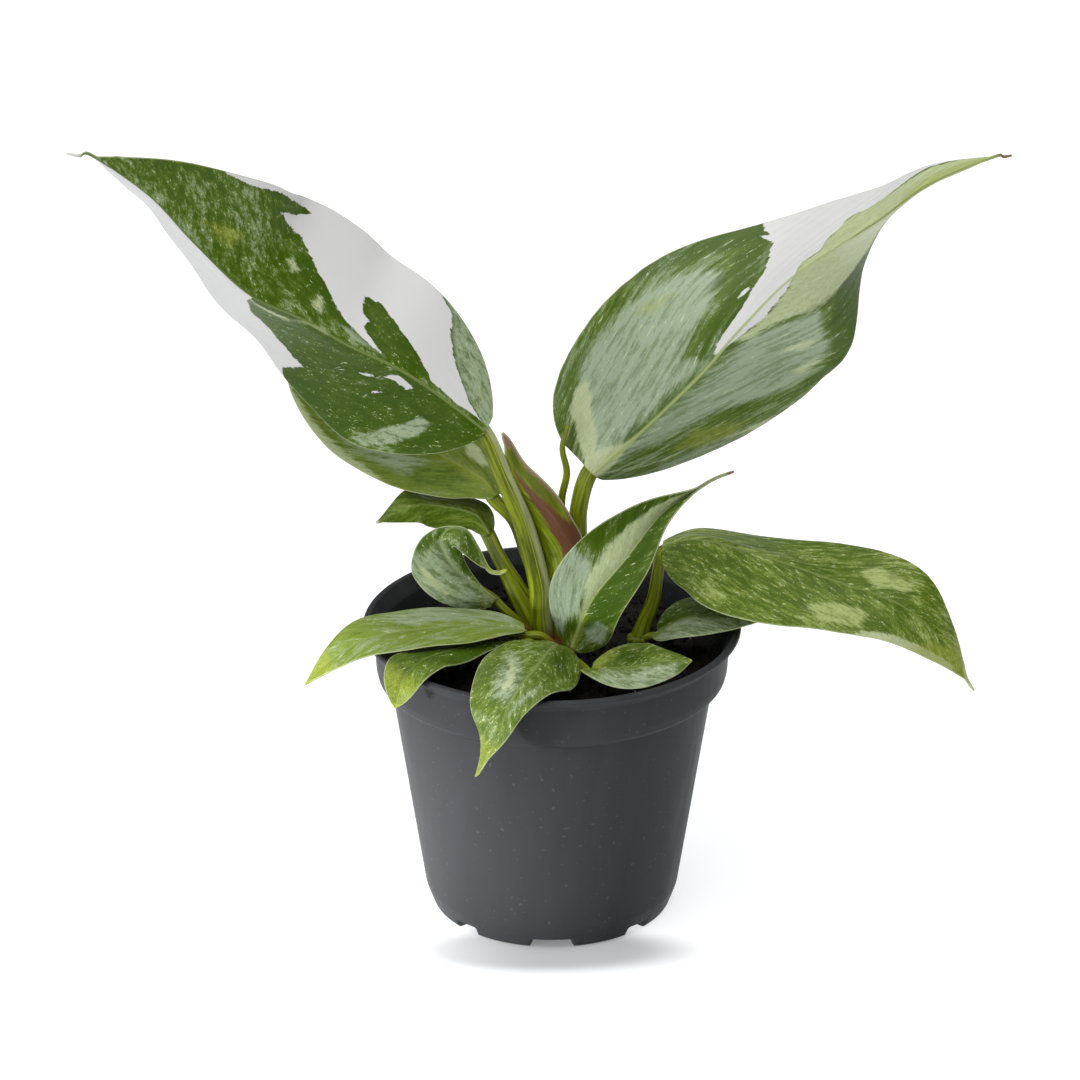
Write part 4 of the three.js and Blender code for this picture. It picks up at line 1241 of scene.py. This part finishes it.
def pot_outer():
    return [
        (FOOT_OUTER_RADIUS + 1.2, FOOT_HEIGHT + 0.6),
        (BODY_FOOT_RADIUS, FOOT_HEIGHT + 4),
        (BODY_TOP_RADIUS, COLLAR_FOOT),
        (BODY_TOP_RADIUS + 2, COLLAR_FOOT + 0.4),
        (COLLAR_RADIUS - 1.2, COLLAR_FOOT + 2),
        (COLLAR_RADIUS - COLLAR_DRAFT, COLLAR_FOOT + COLLAR_BEND),
        (COLLAR_RADIUS, POT_HEIGHT - COLLAR_BEND),
        (LIP_RADIUS - LIP_WIDTH + 0.2, POT_HEIGHT - LIP_DEPTH - LIP_ROUND),
        (LIP_RADIUS, POT_HEIGHT - LIP_DEPTH + 0.2),
        (LIP_RADIUS, POT_HEIGHT - LIP_ROUND),
        (LIP_RADIUS - LIP_ROUND, POT_HEIGHT),
    ]


def pot_inner():
    inside = COLLAR_RADIUS - COLLAR_DRAFT - WALL
    return [
        (LIP_RADIUS - LIP_WIDTH, POT_HEIGHT),
        (COLLAR_RADIUS - WALL, POT_HEIGHT - COLLAR_BEND),
        (inside, COLLAR_FOOT + COLLAR_BEND + 1),
        (inside - 0.6, COLLAR_FOOT + 3.4),
        (BODY_TOP_RADIUS + 0.8, COLLAR_FOOT + 1.8),
        (BODY_TOP_RADIUS - WALL, COLLAR_FOOT + 0.8),
        (BODY_FOOT_RADIUS - WALL, FOOT_HEIGHT + 5),
        (BODY_FOOT_RADIUS - 4, FOOT_HEIGHT + WALL + 0.4),
    ]


def in_notch(angle):
    """1 in a notch of the foot ring, 0 on a foot, with short ramps between."""
    share = np.zeros(angle.shape)
    for k in range(FOOT_COUNT):
        width = WIDE_NOTCH if k % 2 == 0 else NARROW_NOTCH
        centre = -math.pi / 2 + 2 * math.pi * k / FOOT_COUNT
        away = abs((angle - centre + math.pi) % (2 * math.pi) - math.pi) * FOOT_OUTER_RADIUS
        share = np.maximum(share, smooth((width / 2 - away) / NOTCH_RAMP + 0.5))
    return share


def close_rows(profile):
    """A profile with points added so that no two are much more than POT_ROW apart."""
    line = []
    for (r0, z0), (r1, z1) in zip(profile, profile[1:]):
        pieces = max(1, int(math.hypot(r1 - r0, z1 - z0) / POT_ROW))
        line += [(r0 + (r1 - r0) * k / pieces, z0 + (z1 - z0) * k / pieces) for k in range(pieces)]
    return np.array(line + [profile[-1]])


def make_pot():
    floor_top = FOOT_HEIGHT + WALL
    profile = pot_foot() + pot_outer() + pot_inner() + [(0, floor_top)]
    line = close_rows(rounded(profile, CORNER_ROUND))
    angle = np.linspace(0, 2 * math.pi, POT_COLUMNS, endpoint=False)
    grid = turned(line, angle)
    r, z = line[:, :1], line[:, 1:]
    ring = (r > FOOT_INNER_RADIUS - 0.2) & (r < FOOT_OUTER_RADIUS + 0.6) & (z < FOOT_HEIGHT)
    grid[..., 2] += np.where(ring, (FOOT_HEIGHT - z) * in_notch(angle) * NOTCH_RISE, 0)
    a, b, c, d = turned_corners(len(line), POT_COLUMNS)
    part = part_of(flat(grid), np.stack([a, d, c, b], -1).reshape(-1, 4), pot_material())
    pot = make_piece("pot_fine", [part], ["pot"])
    cut_drains(pot, floor_top)


def cut_drains(pot, floor_top):
    """Six round holes through the floor."""
    plastic = pot.data.materials[0]
    parts = []
    for k in range(DRAIN_COUNT):
        angle = 2 * math.pi * (k + 0.5) / DRAIN_COUNT - math.pi / 2
        x, y = DRAIN_CIRCLE * math.cos(angle), DRAIN_CIRCLE * math.sin(angle)
        route = [[x, y, -5], [x, y, 0], [x, y, floor_top + 5]]
        parts.append(rod_part(route, [DRAIN_RADIUS] * 3, DRAIN_SIDES, 2, plastic))
    cutter = make_piece("drain_cutter", parts, [])
    weld = pot.modifiers.new("weld", "WELD")
    weld.merge_threshold = 1e-6
    cut = pot.modifiers.new("drains", "BOOLEAN")
    cut.operation = "DIFFERENCE"
    cut.object = cutter
    graph = bpy.context.evaluated_depsgraph_get()
    mesh = bpy.data.meshes.new_from_object(pot.evaluated_get(graph))
    pot.modifiers.clear()
    pot.data = mesh
    bpy.data.objects.remove(cutter)


def soil_height(x, y):
    """Height of the soil's crumbly surface."""
    lumps = np.sin(x * 0.31 + 1.3) * np.cos(y * 0.27) + 0.7 * np.sin(x * 0.73 - y * 0.61)
    crumbs = 0.5 * np.sin(x * 1.7 + y * 0.4) * np.sin(y * 1.9 - x * 0.3)
    fine = 0.35 * ripple(x, y, 3.1, 71) + 0.2 * ripple(x, y, 1.3, 72)
    return SOIL_LEVEL + SOIL_RELIEF * 0.5 * (lumps + crumbs) + fine


def make_soil():
    """The soil's crumbly top, its plain sides and floor inside the pot, and loose lumps on it."""
    edge = COLLAR_RADIUS - COLLAR_DRAFT - WALL - SOIL_GAP
    radius = np.linspace(0, edge, SOIL_RINGS)[:, None]
    angle = np.linspace(0, 2 * math.pi, SOIL_COLUMNS, endpoint=False)
    x, y = radius * np.cos(angle), radius * np.sin(angle)
    top = np.stack([x, y, soil_height(x, y)], -1)
    wall = [(r - SOIL_GAP, z) for r, z in pot_inner()[3:]]
    outline = np.array([(edge, COLLAR_FOOT + 5)] + wall + [(0, FOOT_HEIGHT + WALL + 0.8)])
    grid = np.concatenate([top, turned(outline, angle)])
    skin = soil_material()
    faces = np.stack(turned_corners(len(grid), SOIL_COLUMNS), -1).reshape(-1, 4)
    make_piece("soil_fine", [part_of(flat(grid), faces, skin)], ["soil"])
    make_piece("soil_crumbs", [lumps_on_soil(skin, edge, **CRUMBS)], [])
    make_piece("soil_perlite", [lumps_on_soil(perlite_material(), edge, **PERLITE)], [])


def ball():
    """A small round template: points on the unit sphere and its triangles."""
    mesh = bpy.data.meshes.new("ball")
    shape = bmesh.new()
    bmesh.ops.create_icosphere(shape, subdivisions=2, radius=1)
    shape.to_mesh(mesh)
    shape.free()
    points = np.array([vertex.co for vertex in mesh.vertices], float)
    faces = np.array([list(face.vertices) for face in mesh.polygons])
    bpy.data.meshes.remove(mesh)
    return points, faces


def lumps_on_soil(material, edge, count, sizes, inset, seed):
    """Small irregular lumps, half sunk in the soil."""
    rng = np.random.default_rng(seed)
    template, template_faces = ball()
    points, faces = [], []
    for k in range(count):
        size = rng.uniform(*sizes) * rng.uniform(0.5, 1)
        stretch = rng.uniform(0.6, 1.3, 3) * size
        bumps = 1 + 0.25 * ripple(template[:, 0] * 2, template[:, 1] * 2 + template[:, 2], 2.2, k)
        turn = rng.uniform(0, 2 * math.pi)
        shape = template * bumps[:, None] * stretch
        x = shape[:, 0] * math.cos(turn) - shape[:, 1] * math.sin(turn)
        y = shape[:, 0] * math.sin(turn) + shape[:, 1] * math.cos(turn)
        radius = (edge - inset) * math.sqrt(rng.uniform(0, 1))
        way = rng.uniform(0, 2 * math.pi)
        cx, cy = radius * math.cos(way), radius * math.sin(way)
        cz = float(soil_height(np.array(cx), np.array(cy))) + 0.15 * size
        points.append(np.stack([x + cx, y + cy, shape[:, 2] + cz], -1))
        faces.append(template_faces + k * len(template))
    return part_of(np.concatenate(points), np.concatenate(faces), material)


def add_light(name, place, aim, size, power, colour, spread):
    light = bpy.data.lights.new(name, "AREA")
    light.shape = "RECTANGLE"
    light.size, light.size_y = size
    light.energy = power
    light.spread = math.radians(spread)
    light.color = colour
    lamp = placed(name, light)
    lamp.location = place
    way = Vector(aim) - Vector(place)
    lamp.rotation_euler = way.to_track_quat("-Z", "Y").to_euler()


def floor_material():
    """Matt white paper that glows evenly, with a painted pool of light beside the pot on the left and a
    painted shadow at the pot's foot.
    """
    g = Graph("floor_paper", 0.9, 0.1)
    g.finish("Base Color", linear("floor"))
    # Painted light and shade: the glow's pool beside the pot, and its drop to a painted shadow at the foot
    from_glow = g.distance(g.place(), GLOW_CENTRE)
    from_foot = g.distance(g.scaled(g.place(), CONTACT_STRETCH), CONTACT_CENTRE)
    lift = g.step(from_foot, *CONTACT_REACH, CONTACT_LIFT, FLOOR_LIFT)
    g.finish("Emission Color", FLOOR_TINT)
    g.finish("Emission Strength", g.add(lift, g.step(from_glow, *GLOW_REACH, GLOW, 0.0)))
    return g.material


def make_studio():
    """A pale floor, an even white surround and soft boxes, the main one at the upper left."""
    mesh = bpy.data.meshes.new("floor")
    corners = [(x * FLOOR_HALF, y * FLOOR_HALF, 0) for x, y in ((-1, -1), (1, -1), (1, 1), (-1, 1))]
    mesh.from_pydata(corners, [], [[0, 1, 2, 3]])
    mesh.materials.append(floor_material())
    floor = placed("floor", mesh)
    world = bpy.data.worlds.new("surround")
    bpy.context.scene.world = world
    world.use_nodes = True
    background = world.node_tree.nodes["Background"]
    background.inputs["Color"].default_value = (1, 1, 1, 1)
    background.inputs["Strength"].default_value = WORLD_LIGHT
    for name, light in LIGHTS.items():
        add_light(name, *light)


def make_camera():
    camera = bpy.data.cameras.new("camera")
    camera.sensor_width = SENSOR_WIDTH
    camera.lens = LENS
    camera.clip_end = 100
    eye = placed("camera", camera)
    height = math.radians(CAMERA_HEIGHT_ANGLE)
    x, y, z = RIM_CENTRE
    eye.location = (
        x * MM,
        (y - CAMERA_DISTANCE * math.cos(height)) * MM,
        (z + CAMERA_DISTANCE * math.sin(height)) * MM,
    )
    eye.rotation_euler = (math.radians(90 - CAMERA_PITCH), 0, math.radians(-CAMERA_YAW))
    bpy.context.scene.camera = eye


make_camera()
make_studio()
make_pot()
make_soil()
make_stems()
make_leaves()
make_shoot()

bpy.context.scene.view_settings.view_transform = "Standard"
